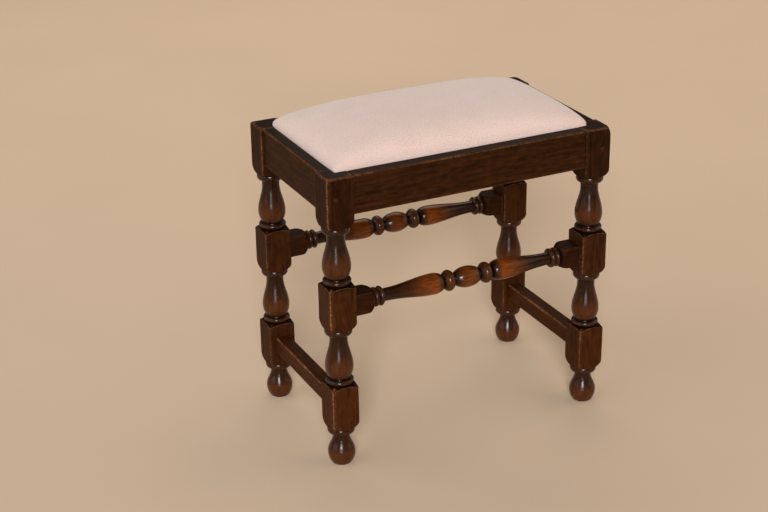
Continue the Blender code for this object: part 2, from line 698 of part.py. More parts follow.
def make_padding(parts):
    """The stuffing with its crown, and the linen drawn over it and turned under the frame."""
    bm = crowned_sheet(COVER_X - FIT, COVER_Y - FIT, RIM - FIT)
    extend_rim(bm, lambda x, y: (x, y, PAD_LOW))
    bmesh.ops.edgeloop_fill(bm, edges=[e for e in bm.edges if e.is_boundary])
    bmesh.ops.recalc_face_normals(bm, faces=bm.faces)
    pad = add("stuffing_pad", bm, parts)
    pad.data.shade_smooth()
    pad.data.set_sharp_from_angle(angle=math.radians(50))

    bm = crowned_sheet(COVER_X, COVER_Y, RIM)
    under = MEMBER_LOW - FIT
    extend_rim(bm, lambda x, y: (x, y, under))
    scale_x, scale_y = 1 - COVER_TURN_UNDER / COVER_X, 1 - COVER_TURN_UNDER / COVER_Y
    extend_rim(bm, lambda x, y: (x * scale_x, y * scale_y, under))
    bmesh.ops.recalc_face_normals(bm, faces=bm.faces)
    cover = add("linen_cover", bm, parts)
    cover.data.shade_smooth()
    cover.data.set_sharp_from_angle(angle=math.radians(50))
    shell = cover.modifiers.new("thickness", "SOLIDIFY")
    shell.thickness = COVER_THICKNESS
    shell.offset = 1.0
    shell.use_even_offset = True
    return [finish(pad, FIBRE), finish(cover, LINEN)]


def carry(pieces, parts):
    """The seat's pieces hang on one empty, which lifts straight up out of the frame."""
    axis = bpy.data.objects.new("seat_lift", None)
    axis.location = (0.0, 0.0, LEDGE)
    parts.objects.link(axis)
    bpy.context.view_layer.update()
    for piece in pieces:
        piece.parent = axis
        piece.matrix_parent_inverse = axis.matrix_world.inverted()


def main():
    parts, cutters = start()
    well, mortises, peg_holes = make_cutters(cutters)
    make_legs(parts, cutters, well, mortises, peg_holes)
    make_rails(parts, cutters, well, peg_holes)
    make_pegs(parts)
    make_turned_stretchers(parts, cutters)
    make_side_stretchers(parts, cutters)
    seat = make_seat_frame(parts, cutters) + make_webbing(parts)
    seat += make_sheets(parts) + make_padding(parts)
    carry(seat, parts)


main()
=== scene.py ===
"""Finished surfaces of an upholstered oak stool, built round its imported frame.

Laid out as an add-on: each operator makes one piece or one group of like pieces, and one makes the stage.
Metres, +Z up, -Y the front of the stool.
"""

import bisect
import math

import bmesh
import bpy
from bpy.props import FloatProperty, FloatVectorProperty, IntProperty, PointerProperty
from mathutils import Matrix, Quaternion, Vector, noise


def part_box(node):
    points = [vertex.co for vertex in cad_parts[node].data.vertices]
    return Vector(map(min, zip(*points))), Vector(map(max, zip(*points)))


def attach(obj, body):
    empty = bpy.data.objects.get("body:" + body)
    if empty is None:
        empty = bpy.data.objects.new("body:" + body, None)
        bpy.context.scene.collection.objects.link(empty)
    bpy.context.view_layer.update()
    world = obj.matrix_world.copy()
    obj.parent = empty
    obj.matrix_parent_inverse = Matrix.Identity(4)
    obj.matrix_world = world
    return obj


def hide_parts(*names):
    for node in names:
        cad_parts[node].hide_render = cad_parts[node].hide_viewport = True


bl_info = {
    "name": "Upholstered Oak Stool",
    "version": (1, 0, 0),
    "blender": (4, 5, 0),
    "location": "View3D > Sidebar > Stool",
    "description": "Makes the oak frame, the linen seat and the hidden upholstery of a turned stool",
    "category": "Object",
}

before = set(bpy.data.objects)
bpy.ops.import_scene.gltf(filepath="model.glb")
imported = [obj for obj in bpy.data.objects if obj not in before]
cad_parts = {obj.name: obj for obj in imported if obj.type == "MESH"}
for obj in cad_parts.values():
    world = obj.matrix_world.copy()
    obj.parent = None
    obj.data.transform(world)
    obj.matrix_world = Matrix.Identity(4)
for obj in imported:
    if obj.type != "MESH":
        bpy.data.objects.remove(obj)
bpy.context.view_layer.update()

# Places read from the frame
LEG_LOW, LEG_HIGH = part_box("leg_front_left")
HALF_SQUARE = (LEG_HIGH.x - LEG_LOW.x) / 2
LEG_TOP = LEG_HIGH.z
INNER_X = -LEG_HIGH.x
INNER_Y = -LEG_HIGH.y
BAR_LOW, BAR_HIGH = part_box("turned_stretcher_front")
STRETCHER_HALF_SQUARE = (BAR_HIGH.z - BAR_LOW.z) / 2
COVER_LOW, COVER_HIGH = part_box("linen_cover")
HESSIAN_LOW, HESSIAN_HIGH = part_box("hessian")
DUST_LOW, DUST_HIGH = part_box("dust_cover")

# Fits: between pieces that meet, round the seat in its rebate, and how far a cutter reaches past a face
FIT = 0.0003
SEAT_GAP = 0.0015
WELL_X = COVER_HIGH.x + SEAT_GAP
WELL_Y = COVER_HIGH.y + SEAT_GAP
LEDGE = COVER_LOW.z - FIT
OVERLAP = 0.008
TINY = 0.000001

# Blocks of a leg, as heights above the floor, and the sizes of its turnings
FOOT_HEIGHT = 0.0725
LOW_BLOCK_TOP = 0.128
MID_BLOCK_BOTTOM = 0.2345
MID_BLOCK_TOP = 0.2875
TOP_BLOCK_BOTTOM = 0.394
CORNER_RADIUS = HALF_SQUARE * math.sqrt(2)
BILLET_ALLOWANCE = 1.03
BILLET_RADIUS = CORNER_RADIUS * BILLET_ALLOWANCE
BELLY_RADIUS = HALF_SQUARE - 0.0001
SHOULDER_DROP = 0.0196
SHOULDER_RISE = 0.006
COLLAR_RADIUS = BELLY_RADIUS - 0.0014
OVOLO_RADIUS = BELLY_RADIUS - 0.0004
OVOLO_HEIGHT = 0.0108
OVOLO_LIP = 0.003
NECK_RADIUS = 0.0133
NECK_FILLET = 0.0007
NECK_DROP = 0.0064
BASE_RADIUS = 0.0166
BASE_DROP = 0.0165
QUIRK_RADIUS = 0.0162
QUIRK_HEIGHT = 0.0018
BEAD_RADIUS = BELLY_RADIUS - 0.0002
BEAD_HEIGHT = 0.0078
FOOT_NECK_RADIUS = 0.0127
FOOT_NECK_DROP = 0.0033
FOOT_BALL_CENTRE = 0.0175
FOOT_BALL_DROP = 0.0255
FOOT_BALL_RADIUS = BELLY_RADIUS - 0.0005
FOOT_PAD_RADIUS = 0.0157
FOOT_PAD_EASE = 0.001

# Turned stretchers, as distances from their middle
STRETCHER_BLOCK = 0.033
STRETCHER_SHOULDER = 0.018
STRETCHER_RING = 0.0085
STRETCHER_RING_RADIUS = 0.0149
STRETCHER_NECK_RADIUS = 0.0097
STRETCHER_BELLY_RADIUS = 0.0162
STRETCHER_BELLY_FROM_MIDDLE = 0.058
STRETCHER_PEAR_HOLLOW = 1.25
STRETCHER_PEAR_END_RADIUS = 0.0094
STRETCHER_BEAD_WIDTH = 0.0196
STRETCHER_COVE_RADIUS = 0.0088
STRETCHER_BALL_HALF = 0.0212
STRETCHER_BALL_ANGLE = 1.0

# Fineness of the turned and planed surfaces
TURNING_STEPS = 128
CORNER_CROWDING = 0.55
RUN_STEP = 0.004
LEG_TOP_ROWS = 6
LEG_TOP_ROWS_DEPTH = 0.012
BOARD_STEP = 0.006
BOARD_CUTS = (0.003, 0.0055, 0.009)
CUT_SNAP = 0.00002
SMOOTH_ANGLE = math.radians(38)

# Lengths over which wear and the waves of a hand plane come and go; PLANE_TURN is an angle in radians
ARRIS_USE_WAVE = 0.035
BOARD_USE_WAVE = 0.045
PLANE_WAVE = 0.05
PLANE_TURN = 0.6
BOARD_PLANE_WAVE = 0.06
BOARD_CROSS_WAVE = 0.02
SHOULDER_WEAR_WIDTH = 0.0010

# Where each group of pieces starts in the noise, so that no two age alike
LEG_SEED, RAIL_SEED, TURNED_SEED, SIDE_SEED, PEG_SEED, HESSIAN_SEED = 0, 20, 40, 60, 80, 90

# Age and shade from 0 to 1: the polish of every turning, the film of old wax on it, and how much darker the
# other faces are painted, which is painted shade on the faces that look up
TURNED_RUB = 0.2
WAX_FILM = 0.15
END_GRAIN_SHADE = 0.6
TOP_EDGE_DARKENING = 0.25
TOP_BLOCK_DARKENING = 0.35
RAIL_UPWARD_SHADE = 0.6
TURNED_BAR_DARKENING = 0.5
TURNED_BAR_WEAR = 0.7
SIDE_BAR_UPWARD_SHADE = 0.2
PEG_RUB = 0.25

# Pegs
PEG_CROWN = 0.0006
PEG_TAPER = 0.8
PEG_UNEVENNESS = 0.03

# Upholstery: thicknesses, the cells of the grids, the form of the crown, and the straps, lining and tacks
LINEN_THICKNESS = 0.0008
LINEN_CELL = 0.005
CROWN_POWER = 4
CROWN_FULLNESS = 0.4
CROWN_SAMPLES = 2000
CLOTH_QUALITY = 6
EVENING_ROUNDS = 30
SHEET_THICKNESS = 0.0004
SHEET_CELL = 0.006
STRAP_THICKNESS = 0.0012
STRAP_CELL = 0.003
STRAP_LIFT = 0.0015
STRAP_RAMP = 0.016
HESSIAN_UNEVENNESS = 0.00012
HESSIAN_WAVE = 0.03
STUFFING_CUT = 0.0002
LINING_SAG = 0.0025
TACK_INSET = 0.009
TACK_SPACING = 0.036
TACK_END_GAP_X = 0.012
TACK_END_GAP_Y = 0.016
TACK_WANDER = 0.002
TACK_HEAD = {"radius1": 0.0020, "radius2": 0.0034, "depth": 0.0010}
TACK_HEAD_DROP = 0.0006

# Soft boxes: azimuth and elevation from the stool in degrees, distance, width and height in metres, watts,
# tint, and how many degrees each leans down
LAMPS = {
    "key": (-27, 24, 13.6, (3.6, 4.2), 1800, "#f1f4ff", 0),
    "window": (-27, 4, 12.8, (3.6, 1.6), 200, "#ecf1ff", 0),
    "left_fill": (-100, 28, 4.8, (6.4, 4.2), 100, "#f8f9ff", 0),
    "right_fill": (75, 25, 4.8, (5.4, 4.2), 76, "#fff0e0", 0),
    "back_fill": (158, 44, 3.8, (3.2, 2.4), 46, "#fff6ee", 40),
}
LAMP_AIM = Vector((0.0, 0.0, 0.25))
ROOM_TINT = "#fbf6f0"
ROOM_STRENGTH = 0.16
FLOOR_HALF = 12.0
SENSOR_WIDTH = 36.0

# One band of the wave texture at a scale of 1
WAVE_BAND = 0.314

SIDES = ("front", "back", "left", "right")
LONG_SIDES = SIDES[:2]
CORNERS = {
    "front_left": (-1, -1),
    "front_right": (1, -1),
    "back_left": (-1, 1),
    "back_right": (1, 1),
}

# Age of each leg: wear of its nearest arris below and at the top block, how much darker its faces are
# painted, and how far its top corner is knocked off
LEG_AGE = {
    "front_left": (1.0, 1.0, 0.0, 0.0045),
    "front_right": (0.6, 0.2, 0.1, 0.0075),
    "back_left": (0.4, 0.4, 0.25, 0.003),
    "back_right": (0.3, 0.1, 0.15, 0.005),
}


def linear(hex_colour):
    """An sRGB hex value as three linear numbers."""
    values = [int(hex_colour[i : i + 2], 16) / 255 for i in (1, 3, 5)]
    return tuple(c / 12.92 if c <= 0.04045 else ((c + 0.055) / 1.055) ** 2.4 for c in values)


class StoolWood(bpy.types.PropertyGroup):
    """Finish of the oak."""

    arris_ease: FloatProperty(
        name="Eased arris",
        description="Rounding that years of use have given the arrises of the square blocks",
        default=0.0018,
        unit="LENGTH",
    )
    soft_edge: FloatProperty(
        name="Soft edge",
        description="Width over which a turned shoulder runs into a planed face",
        default=0.0012,
        unit="LENGTH",
    )
    ripple: FloatProperty(
        name="Plane ripple",
        description="Height of the waves that a hand plane leaves in a face",
        default=0.00012,
        unit="LENGTH",
    )
    wear_width: FloatProperty(
        name="Worn strip",
        description="Width of the strip beside an arris where the stain is rubbed through",
        default=0.0028,
        unit="LENGTH",
    )
    stain_dark: FloatVectorProperty(
        name="Dark stain",
        description="Colour of the stained oak in its late wood",
        default=linear("#1f0f05"),
        subtype="COLOR",
    )
    stain_light: FloatVectorProperty(
        name="Light stain",
        description="Colour of the stained oak in its early wood",
        default=linear("#45230c"),
        subtype="COLOR",
    )
    rubbed: FloatVectorProperty(
        name="Rubbed turning",
        description="Colour of the swellings that hands and feet have polished",
        default=linear("#7b3b0b"),
        subtype="COLOR",
    )
    worn: FloatVectorProperty(
        name="Worn arris",
        description="Colour where the stain is worn down to the wood",
        default=linear("#a06a42"),
        subtype="COLOR",
    )
    # Near-black painted shade for the quirks, coves, necks and faces that look up, over a film of old wax
    shade_and_wax: FloatVectorProperty(
        name="Old wax",
        description="Colour of the wax and dust that lie in the quirks",
        default=linear("#090402"),
        subtype="COLOR",
    )


class StoolSeat(bpy.types.PropertyGroup):
    """Shape and cloth of the drop-in seat."""

    crown: FloatProperty(
        name="Crown",
        description="Height of the stuffing's crown above its rim",
        default=0.035,
        unit="LENGTH",
    )
    rim_rise: FloatProperty(
        name="Rim rise",
        description="How far the rim of the seat stands above the rails",
        default=0.002,
        unit="LENGTH",
    )
    corner: FloatProperty(
        name="Corner",
        description="Rounding of the seat's corners in plan",
        default=0.0075,
        unit="LENGTH",
    )
    turn_under: FloatProperty(
        name="Turn under",
        description="Width of linen that is drawn under the seat frame",
        default=0.018,
        unit="LENGTH",
    )
    pressure: FloatProperty(
        name="Stuffing pressure",
        description="How hard the stuffing pushes the linen out as it settles",
        default=4.0,
    )
    most_move: FloatProperty(
        name="Most movement",
        description="Furthest that a point of the linen may move as it settles",
        default=0.003,
        unit="LENGTH",
    )
    settle_frames: IntProperty(
        name="Settling",
        description="Number of frames over which the linen settles",
        default=20,
    )
    thread: FloatProperty(
        name="Thread",
        description="Spacing of the linen's threads as drawn",
        default=0.0010,
        unit="LENGTH",
    )
    linen: FloatVectorProperty(
        name="Linen",
        description="Colour of the linen",
        default=linear("#d8bdac"),
        subtype="COLOR",
    )
    linen_fleck: FloatVectorProperty(
        name="Linen fleck",
        description="Colour of the darker fibres in the linen",
        default=linear("#c1a897"),
        subtype="COLOR",
    )


class StoolStage(bpy.types.PropertyGroup):
    """Floor, light and camera."""

    floor: FloatVectorProperty(
        name="Floor",
        description="Colour of the pale floor",
        default=linear("#d2b798"),
        subtype="COLOR",
    )
    azimuth: FloatProperty(
        name="Azimuth",
        description="Camera's turn round the stool from straight in front",
        default=math.radians(-25.75),
        subtype="ANGLE",
    )
    elevation: FloatProperty(
        name="Elevation",
        description="Camera's angle above the floor",
        default=math.radians(23.81),
        subtype="ANGLE",
    )
    roll: FloatProperty(
        name="Roll",
        description="Camera's tilt about its own line of sight",
        default=math.radians(-0.94),
        subtype="ANGLE",
    )
    distance: FloatProperty(
        name="Distance",
        description="From the camera to the point it looks at",
        default=2.63,
        unit="LENGTH",
    )
    aim: FloatVectorProperty(
        name="Aim",
        description="Point that the camera looks at",
        default=(-0.0642, 0.0291, 0.2461),
        subtype="XYZ",
        unit="LENGTH",
    )
    lens: FloatProperty(
        name="Lens",
        description="Focal length on a sensor 36 mm wide, in millimetres",
        default=79.57,
    )


def add_node(tree, kind, inputs=(), stops=(), **settings):
    """A shader node; inputs holds values or nodes' outputs, by socket or in order, and stops fill a ramp."""
    made = tree.nodes.new(kind)
    for key, value in settings.items():
        setattr(made, key, value)
    for socket, value in inputs.items() if isinstance(inputs, dict) else enumerate(inputs):
        if isinstance(value, bpy.types.NodeSocket):
            tree.links.new(value, made.inputs[socket])
        else:
            made.inputs[socket].default_value = value
    for i, (place, colour) in enumerate(stops):
        element = made.color_ramp.elements[i] if i < 2 else made.color_ramp.elements.new(place)
        element.position = place
        element.color = (*colour, 1.0)
    return made


def new_material(name, **sockets):
    """An empty material with its Principled shader, whose constant sockets are set here."""
    material = bpy.data.materials.new(name)
    material.use_nodes = True
    shader = material.node_tree.nodes["Principled BSDF"]
    for socket, value in sockets.items():
        shader.inputs[socket.replace("_", " ").title()].default_value = value
    return material, material.node_tree, shader


def mottled(name, size, detail, stops, **sockets):
    """A material of two tones in soft patches of one size, in metres, with its tree, shader and patches."""
    material, tree, shader = new_material(name, **sockets)
    place = add_node(tree, "ShaderNodeTexCoord").outputs["Object"]
    spread_out = {0: place, "Scale": 1 / size, "Detail": detail}
    patches = add_node(tree, "ShaderNodeTexNoise", spread_out).outputs["Fac"]
    colour = add_node(tree, "ShaderNodeValToRGB", (patches,), stops).outputs[0]
    tree.links.new(colour, shader.inputs["Base Color"])
    return material, tree, shader, patches


def oak(name, axis, wood):
    """Dark stained, wax polished oak: streaked along its length, glossy on the swellings, rubbed through to
    orange brown at the arrises, painted black as shade in the quirks, coves and necks over a film of old wax,
    and painted lighter low down and darker higher up as light and shade."""
    material, tree, shader = new_material(name)
    place = add_node(tree, "ShaderNodeTexCoord").outputs["Object"]
    age_and_shade = add_node(tree, "ShaderNodeAttribute", attribute_name="age_and_shade").outputs["Vector"]
    wear, rub, shade_and_wax = add_node(tree, "ShaderNodeSeparateXYZ", (age_and_shade,)).outputs
    # Annual rings cut along their length show as streaks 4 mm wide, the pores as lines under 1 mm wide. The
    # stain took unevenly, in patches 6 mm wide, and a turning is rubbed through in flecks 2 mm wide
    grain = {}
    for mark, across, along, detail in (
        ("streaks", 0.004, 0.07, 3.0),
        ("pores", 0.0009, 0.016, 2.0),
        ("patches", 0.006, 0.015, 3.0),
        ("flecks", 0.002, 0.014, 2.0),
    ):
        scale = [1 / across] * 3
        scale[axis] = 1 / along
        spot = add_node(tree, "ShaderNodeMapping", {0: place, "Scale": scale}).outputs[0]
        drawn = add_node(tree, "ShaderNodeTexNoise", {0: spot, "Scale": 1.0, "Detail": detail})
        grain[mark] = drawn.outputs["Fac"]
    tone = add_node(tree, "ShaderNodeMix", {0: 0.5, 2: grain["streaks"], 3: grain["patches"]}).outputs[0]
    # Painted light and shade: the oak is painted lighter low down and darker higher up
    height = add_node(tree, "ShaderNodeSeparateXYZ", (place,)).outputs["Z"]
    painted_height_shade = add_node(tree, "ShaderNodeMapRange", (height, 0.08, 0.44, 0.10, -0.05)).outputs[0]
    tone = add_node(tree, "ShaderNodeMath", (tone, painted_height_shade), operation="ADD").outputs[0]
    stain = ((0.32, wood.stain_dark), (0.70, wood.stain_light))
    colour = add_node(tree, "ShaderNodeValToRGB", (tone,), stain).outputs[0]
    patchy = add_node(tree, "ShaderNodeMapRange", (grain["flecks"], 0.34, 0.62, 0.4, 1.0)).outputs[0]
    rubbed = add_node(tree, "ShaderNodeMapRange", (rub, TURNED_RUB, 1.0, 0.0, 1.0)).outputs[0]
    rubbed = add_node(tree, "ShaderNodeMath", (rubbed, patchy), operation="MULTIPLY").outputs[0]
    # The worn arrises are broken into scuffs about 4 mm long
    broken = add_node(tree, "ShaderNodeTexNoise", {0: place, "Scale": 1 / 0.004, "Detail": 3.0})
    scuffs = add_node(tree, "ShaderNodeMapRange", (broken.outputs["Fac"], 0.36, 0.62, 0.15, 1.0)).outputs[0]
    worn = add_node(tree, "ShaderNodeMath", (wear, scuffs), operation="MULTIPLY").outputs[0]
    # Polish, then painted shade over old wax, then wear are laid over the stain, each in its own colour
    for share, over in ((rubbed, wood.rubbed), (shade_and_wax, wood.shade_and_wax), (worn, wood.worn)):
        layer = {0: share, 6: colour, 7: (*over, 1.0)}
        colour = add_node(tree, "ShaderNodeMix", layer, data_type="RGBA").outputs[2]
    # Hands have polished the turnings, and the planed faces have gone dull
    gloss = add_node(tree, "ShaderNodeMapRange", (rub, 0.0, TURNED_RUB, 0.40, 0.15)).outputs[0]
    uneven = (grain["patches"], 0.08, gloss)
    gloss = add_node(tree, "ShaderNodeMath", uneven, operation="MULTIPLY_ADD").outputs[0]
    shine = add_node(tree, "ShaderNodeMapRange", (rub, 0.0, TURNED_RUB, 0.03, 0.22)).outputs[0]
    bump = add_node(tree, "ShaderNodeBump", {"Strength": 0.12, "Distance": 0.0002, "Height": grain["pores"]})
    tree.links.new(shine, shader.inputs["Specular IOR Level"])
    tree.links.new(colour, shader.inputs["Base Color"])
    tree.links.new(gloss, shader.inputs["Roughness"])
    tree.links.new(bump.outputs[0], shader.inputs["Normal"])
    return material


def oak_for(axis):
    """The oak whose grain runs along one axis, made once."""
    name = "waxed_oak_along_" + "xyz"[axis]
    return bpy.data.materials.get(name) or oak(name, axis, bpy.context.scene.stool_wood)


def planed_beech():
    """Planed, unfinished beech: pale pinkish brown with soft flecks about 3 mm across, matt."""
    tones = ((0.35, linear("#a98258")), (0.7, linear("#caa77c")))
    return mottled("planed_beech", 0.003, 3.0, tones, roughness=0.72)[0]


def woven_cloth(name, thread, dark, light, roughness, sheen):
    """Plain weave: threads that pass over and under each other, drawn from the cloth's own flat measure."""
    material, tree, shader = new_material(name, roughness=roughness, sheen_weight=sheen, sheen_roughness=0.5)
    flat = add_node(tree, "ShaderNodeAttribute", attribute_name="flat").outputs["Vector"]
    ridges = []
    for bands in ("X", "Y"):
        yarn = {0: flat, "Scale": WAVE_BAND / thread, "Distortion": 0.6, "Detail": 1.0, "Detail Scale": 0.4}
        ridges.append(add_node(tree, "ShaderNodeTexWave", yarn, bands_direction=bands).outputs["Fac"])
    weave = add_node(tree, "ShaderNodeMath", ridges, operation="ADD").outputs[0]
    # Slubs are thick places in the yarn, a few millimetres long, that show as flecks
    yarn = {0: flat, "Scale": 1 / 0.0024, "Detail": 3.0, "Roughness": 0.65}
    slubs = add_node(tree, "ShaderNodeTexNoise", yarn).outputs["Fac"]
    fleck = add_node(tree, "ShaderNodeMapRange", (slubs, 0.30, 0.62, 0.0, 1.0)).outputs[0]
    # The cloth is lighter and darker by turns, in clouds about 45 mm across
    clouds = add_node(tree, "ShaderNodeTexNoise", {0: flat, "Scale": 1 / 0.045, "Detail": 2.0}).outputs["Fac"]
    shade = add_node(tree, "ShaderNodeMapRange", (clouds, 0.3, 0.7, -0.12, 0.12)).outputs[0]
    tone = add_node(tree, "ShaderNodeMath", (fleck, shade), operation="ADD", use_clamp=True).outputs[0]
    colour = add_node(tree, "ShaderNodeValToRGB", (tone,), ((0.0, dark), (0.75, light)))
    bump = add_node(tree, "ShaderNodeBump", {"Strength": 0.35, "Distance": thread / 5, "Height": weave})
    tree.links.new(colour.outputs[0], shader.inputs["Base Color"])
    tree.links.new(bump.outputs[0], shader.inputs["Normal"])
    return material


def cotton_wadding():
    """Carded cotton wadding: soft off-white fibres in clumps about 8 mm across, with no gloss."""
    tones = ((0.3, linear("#b9ad97")), (0.7, linear("#e2dac8")))
    sockets = {"roughness": 1.0, "sheen_weight": 0.3}
    material, tree, shader, clumps = mottled("cotton_wadding", 0.008, 5.0, tones, **sockets)
    bump = add_node(tree, "ShaderNodeBump", {"Strength": 0.6, "Distance": 0.002, "Height": clumps})
    tree.links.new(bump.outputs[0], shader.inputs["Normal"])
    return material


def blued_steel():
    """Blued steel of cut tacks: nearly black, with worn bright specks about half a millimetre across."""
    tones = ((0.35, linear("#23252b")), (0.8, linear("#6d6a66")))
    material, tree, shader, specks = mottled("blued_steel", 0.0005, 2.0, tones, metallic=1.0)
    gloss = add_node(tree, "ShaderNodeMapRange", (specks, 0.3, 0.7, 0.55, 0.35))
    tree.links.new(gloss.outputs[0], shader.inputs["Roughness"])
    return material


def pale_floor(stage):
    """Smooth pale floor: matt, with a slight cloudiness half a metre across."""
    tones = ((0.2, [0.94 * c for c in stage.floor]), (0.8, stage.floor))
    return mottled("pale_floor", 0.5, 3.0, tones, roughness=0.85)[0]


def make_object(name, bm):
    """A new object at the origin from a bmesh."""
    mesh = bpy.data.meshes.new(name)
    bm.to_mesh(mesh)
    bm.free()
    obj = bpy.data.objects.new(name, mesh)
    bpy.context.scene.collection.objects.link(obj)
    return obj


def dress(obj, material, body, slot, *nodes):
    """Shades and paints a finished piece, and puts it in place of its CAD nodes."""
    obj.data.shade_smooth()
    obj.data.set_sharp_from_angle(angle=SMOOTH_ANGLE)
    obj.data.materials.clear()
    obj.data.materials.append(material)
    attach(obj, body)
    if nodes:
        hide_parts(*nodes)


def cut(obj, cutter):
    """Cuts a closed mesh out of a piece and applies the cut."""
    modifier = obj.modifiers.new("cut", "BOOLEAN")
    modifier.operation = "DIFFERENCE"
    modifier.solver = "EXACT"
    modifier.object = cutter
    graph = bpy.context.evaluated_depsgraph_get()
    mesh = bpy.data.meshes.new_from_object(obj.evaluated_get(graph))
    obj.modifiers.clear()
    obj.data = mesh
    bpy.data.objects.remove(cutter)


def arc(count, first, last):
    """Evenly spaced angles in radians."""
    return [first + (last - first) * i / count for i in range(count + 1)]


def falloff(distance, width):
    """1 at no distance, easing to 0 at the width."""
    t = max(0.0, 1 - distance / width)
    return t * t * (3 - 2 * t)


def soft_min(a, b, width):
    """The smaller of two numbers, rounded over where they are closer than the width."""
    overlap = max(width - abs(a - b), 0.0)
    return min(a, b) - (overlap * overlap / (4 * width) if overlap else 0.0)


def noise_at(seed, *place):
    """Smooth noise from -1 to 1 on up to two places, each counted in its own wavelength."""
    return noise.noise(Vector((seed * 7.31, *place, *(0.0,) * (2 - len(place)))))


# A point of a turned outline is (radius, height, rub, darkness); rub is polish and wear, and darkness is
# painted shade in the quirks, coves and necks over a film of old wax


def shoulder(z):
    """The round under a square block, whose arrises end at height z."""
    reach = BILLET_RADIUS - COLLAR_RADIUS
    lift = SHOULDER_DROP * math.sqrt(1 - ((CORNER_RADIUS - COLLAR_RADIUS) / reach) ** 2)
    points = []
    # The foot of the shoulder, where it runs into the quirk, is painted dark as shade
    for a in arc(24, 0, math.pi / 2):
        radius = COLLAR_RADIUS + reach * math.cos(a)
        points.append((radius, z + lift - SHOULDER_DROP * math.sin(a), 0.0, 0.8 * math.sin(a) ** 12))
    return points


def ring(z_top, height, radius, root):
    """A half-round moulding on the root radius."""
    points = []
    for a in arc(12, 0, math.pi):
        crest = math.sin(a)
        place = z_top - height * (1 - math.cos(a)) / 2
        # The roots are painted dark as shade, over the film of old wax
        shade_and_wax = WAX_FILM + (1 - WAX_FILM) * (1 - crest) ** 2
        points.append((root + (radius - root) * crest, place, TURNED_RUB, shade_and_wax))
    return points


def ovolo(z_top, root):
    """The round under a shoulder: a quirk, the round itself and a fillet where the neck begins."""
    # Painted shade: the quirks above and below the round are painted black, and the round is darker all over
    points = [(COLLAR_RADIUS - FIT, z_top + FIT / 2, TURNED_RUB, 1.0)]
    first = -math.pi / 3
    for a in arc(24, first, math.pi / 2):
        depth = OVOLO_RADIUS - root if a > 0 else OVOLO_LIP
        radius = OVOLO_RADIUS - depth * (1 - math.cos(a))
        drop = (math.sin(a) - math.sin(first)) / (1 - math.sin(first))
        shade_and_wax = max((1 - drop) ** 8, drop**24, 0.3)
        points.append((radius, z_top - OVOLO_HEIGHT * drop, TURNED_RUB, shade_and_wax))
    end = z_top - OVOLO_HEIGHT
    return points + [(root, end - 3 * FIT, TURNED_RUB, 0.35), (root - FIT, end - 4 * FIT, TURNED_RUB, 0.7)]


def straight(first, last, count):
    """Points on a straight run, without its first point."""
    return [tuple(a + (b - a) * i / count for a, b in zip(first, last)) for i in range(1, count + 1)]


def swelling(neck, belly, steps, rub, hollow=1.0):
    """An S curve between two (radius, height) points, more rubbed as it swells; a high hollow swells late."""
    points = []
    for a in arc(steps, 0, math.pi):
        share = ((1 - math.cos(a)) / 2) ** hollow
        radius = neck[0] + (belly[0] - neck[0]) * share
        height = neck[1] + (belly[1] - neck[1]) * a / math.pi
        # Painted shade darkens the curve towards its neck
        points.append((radius, height, TURNED_RUB + rub * share**2, WAX_FILM + 0.45 * (1 - share)))
    return points


def vase(z_top, z_bottom):
    """A narrow neck, the long swelling to the belly and a drawn-in base."""
    belly = z_bottom + BASE_DROP
    points = swelling((NECK_RADIUS, z_top - NECK_DROP), (BELLY_RADIUS, belly), 30, 0.2)
    for a in arc(12, 0, math.pi / 2)[1:]:
        radius = BASE_RADIUS + (BELLY_RADIUS - BASE_RADIUS) * math.cos(a) ** 2
        # The base is painted darker towards the quirk below it, as shade
        aged_and_shaded = (0.4 - 0.2 * math.sin(a), max(math.sin(a) ** 10, WAX_FILM))
        points.append((radius, belly - BASE_DROP * math.sin(a), *aged_and_shaded))
    return points


def turning(z_top, z_bottom):
    """Everything turned between the block above, ending at z_top, and the block below."""
    collar = shoulder(z_top)
    round_under = ovolo(collar[-1][1] - FIT, NECK_RADIUS + NECK_FILLET)
    bead_top = z_bottom + SHOULDER_RISE + BEAD_HEIGHT
    body = vase(round_under[-1][1], bead_top + QUIRK_HEIGHT)
    # The quirk and the sloping top of the block below are painted near black, as shade
    quirk = [(QUIRK_RADIUS, bead_top + QUIRK_HEIGHT / 2, 0.0, 1.0)]
    bead = ring(bead_top, BEAD_HEIGHT, BEAD_RADIUS, BASE_RADIUS)
    reach = (BILLET_RADIUS - CORNER_RADIUS) * SHOULDER_RISE / (CORNER_RADIUS - BASE_RADIUS)
    block = (BILLET_RADIUS, z_bottom - reach, 0.0, 0.0)
    slope = straight((BASE_RADIUS, z_bottom + SHOULDER_RISE, 0.0, 0.95), (*block[:3], 0.85), 26)
    return collar + round_under + body + quirk + bead + slope + [block]


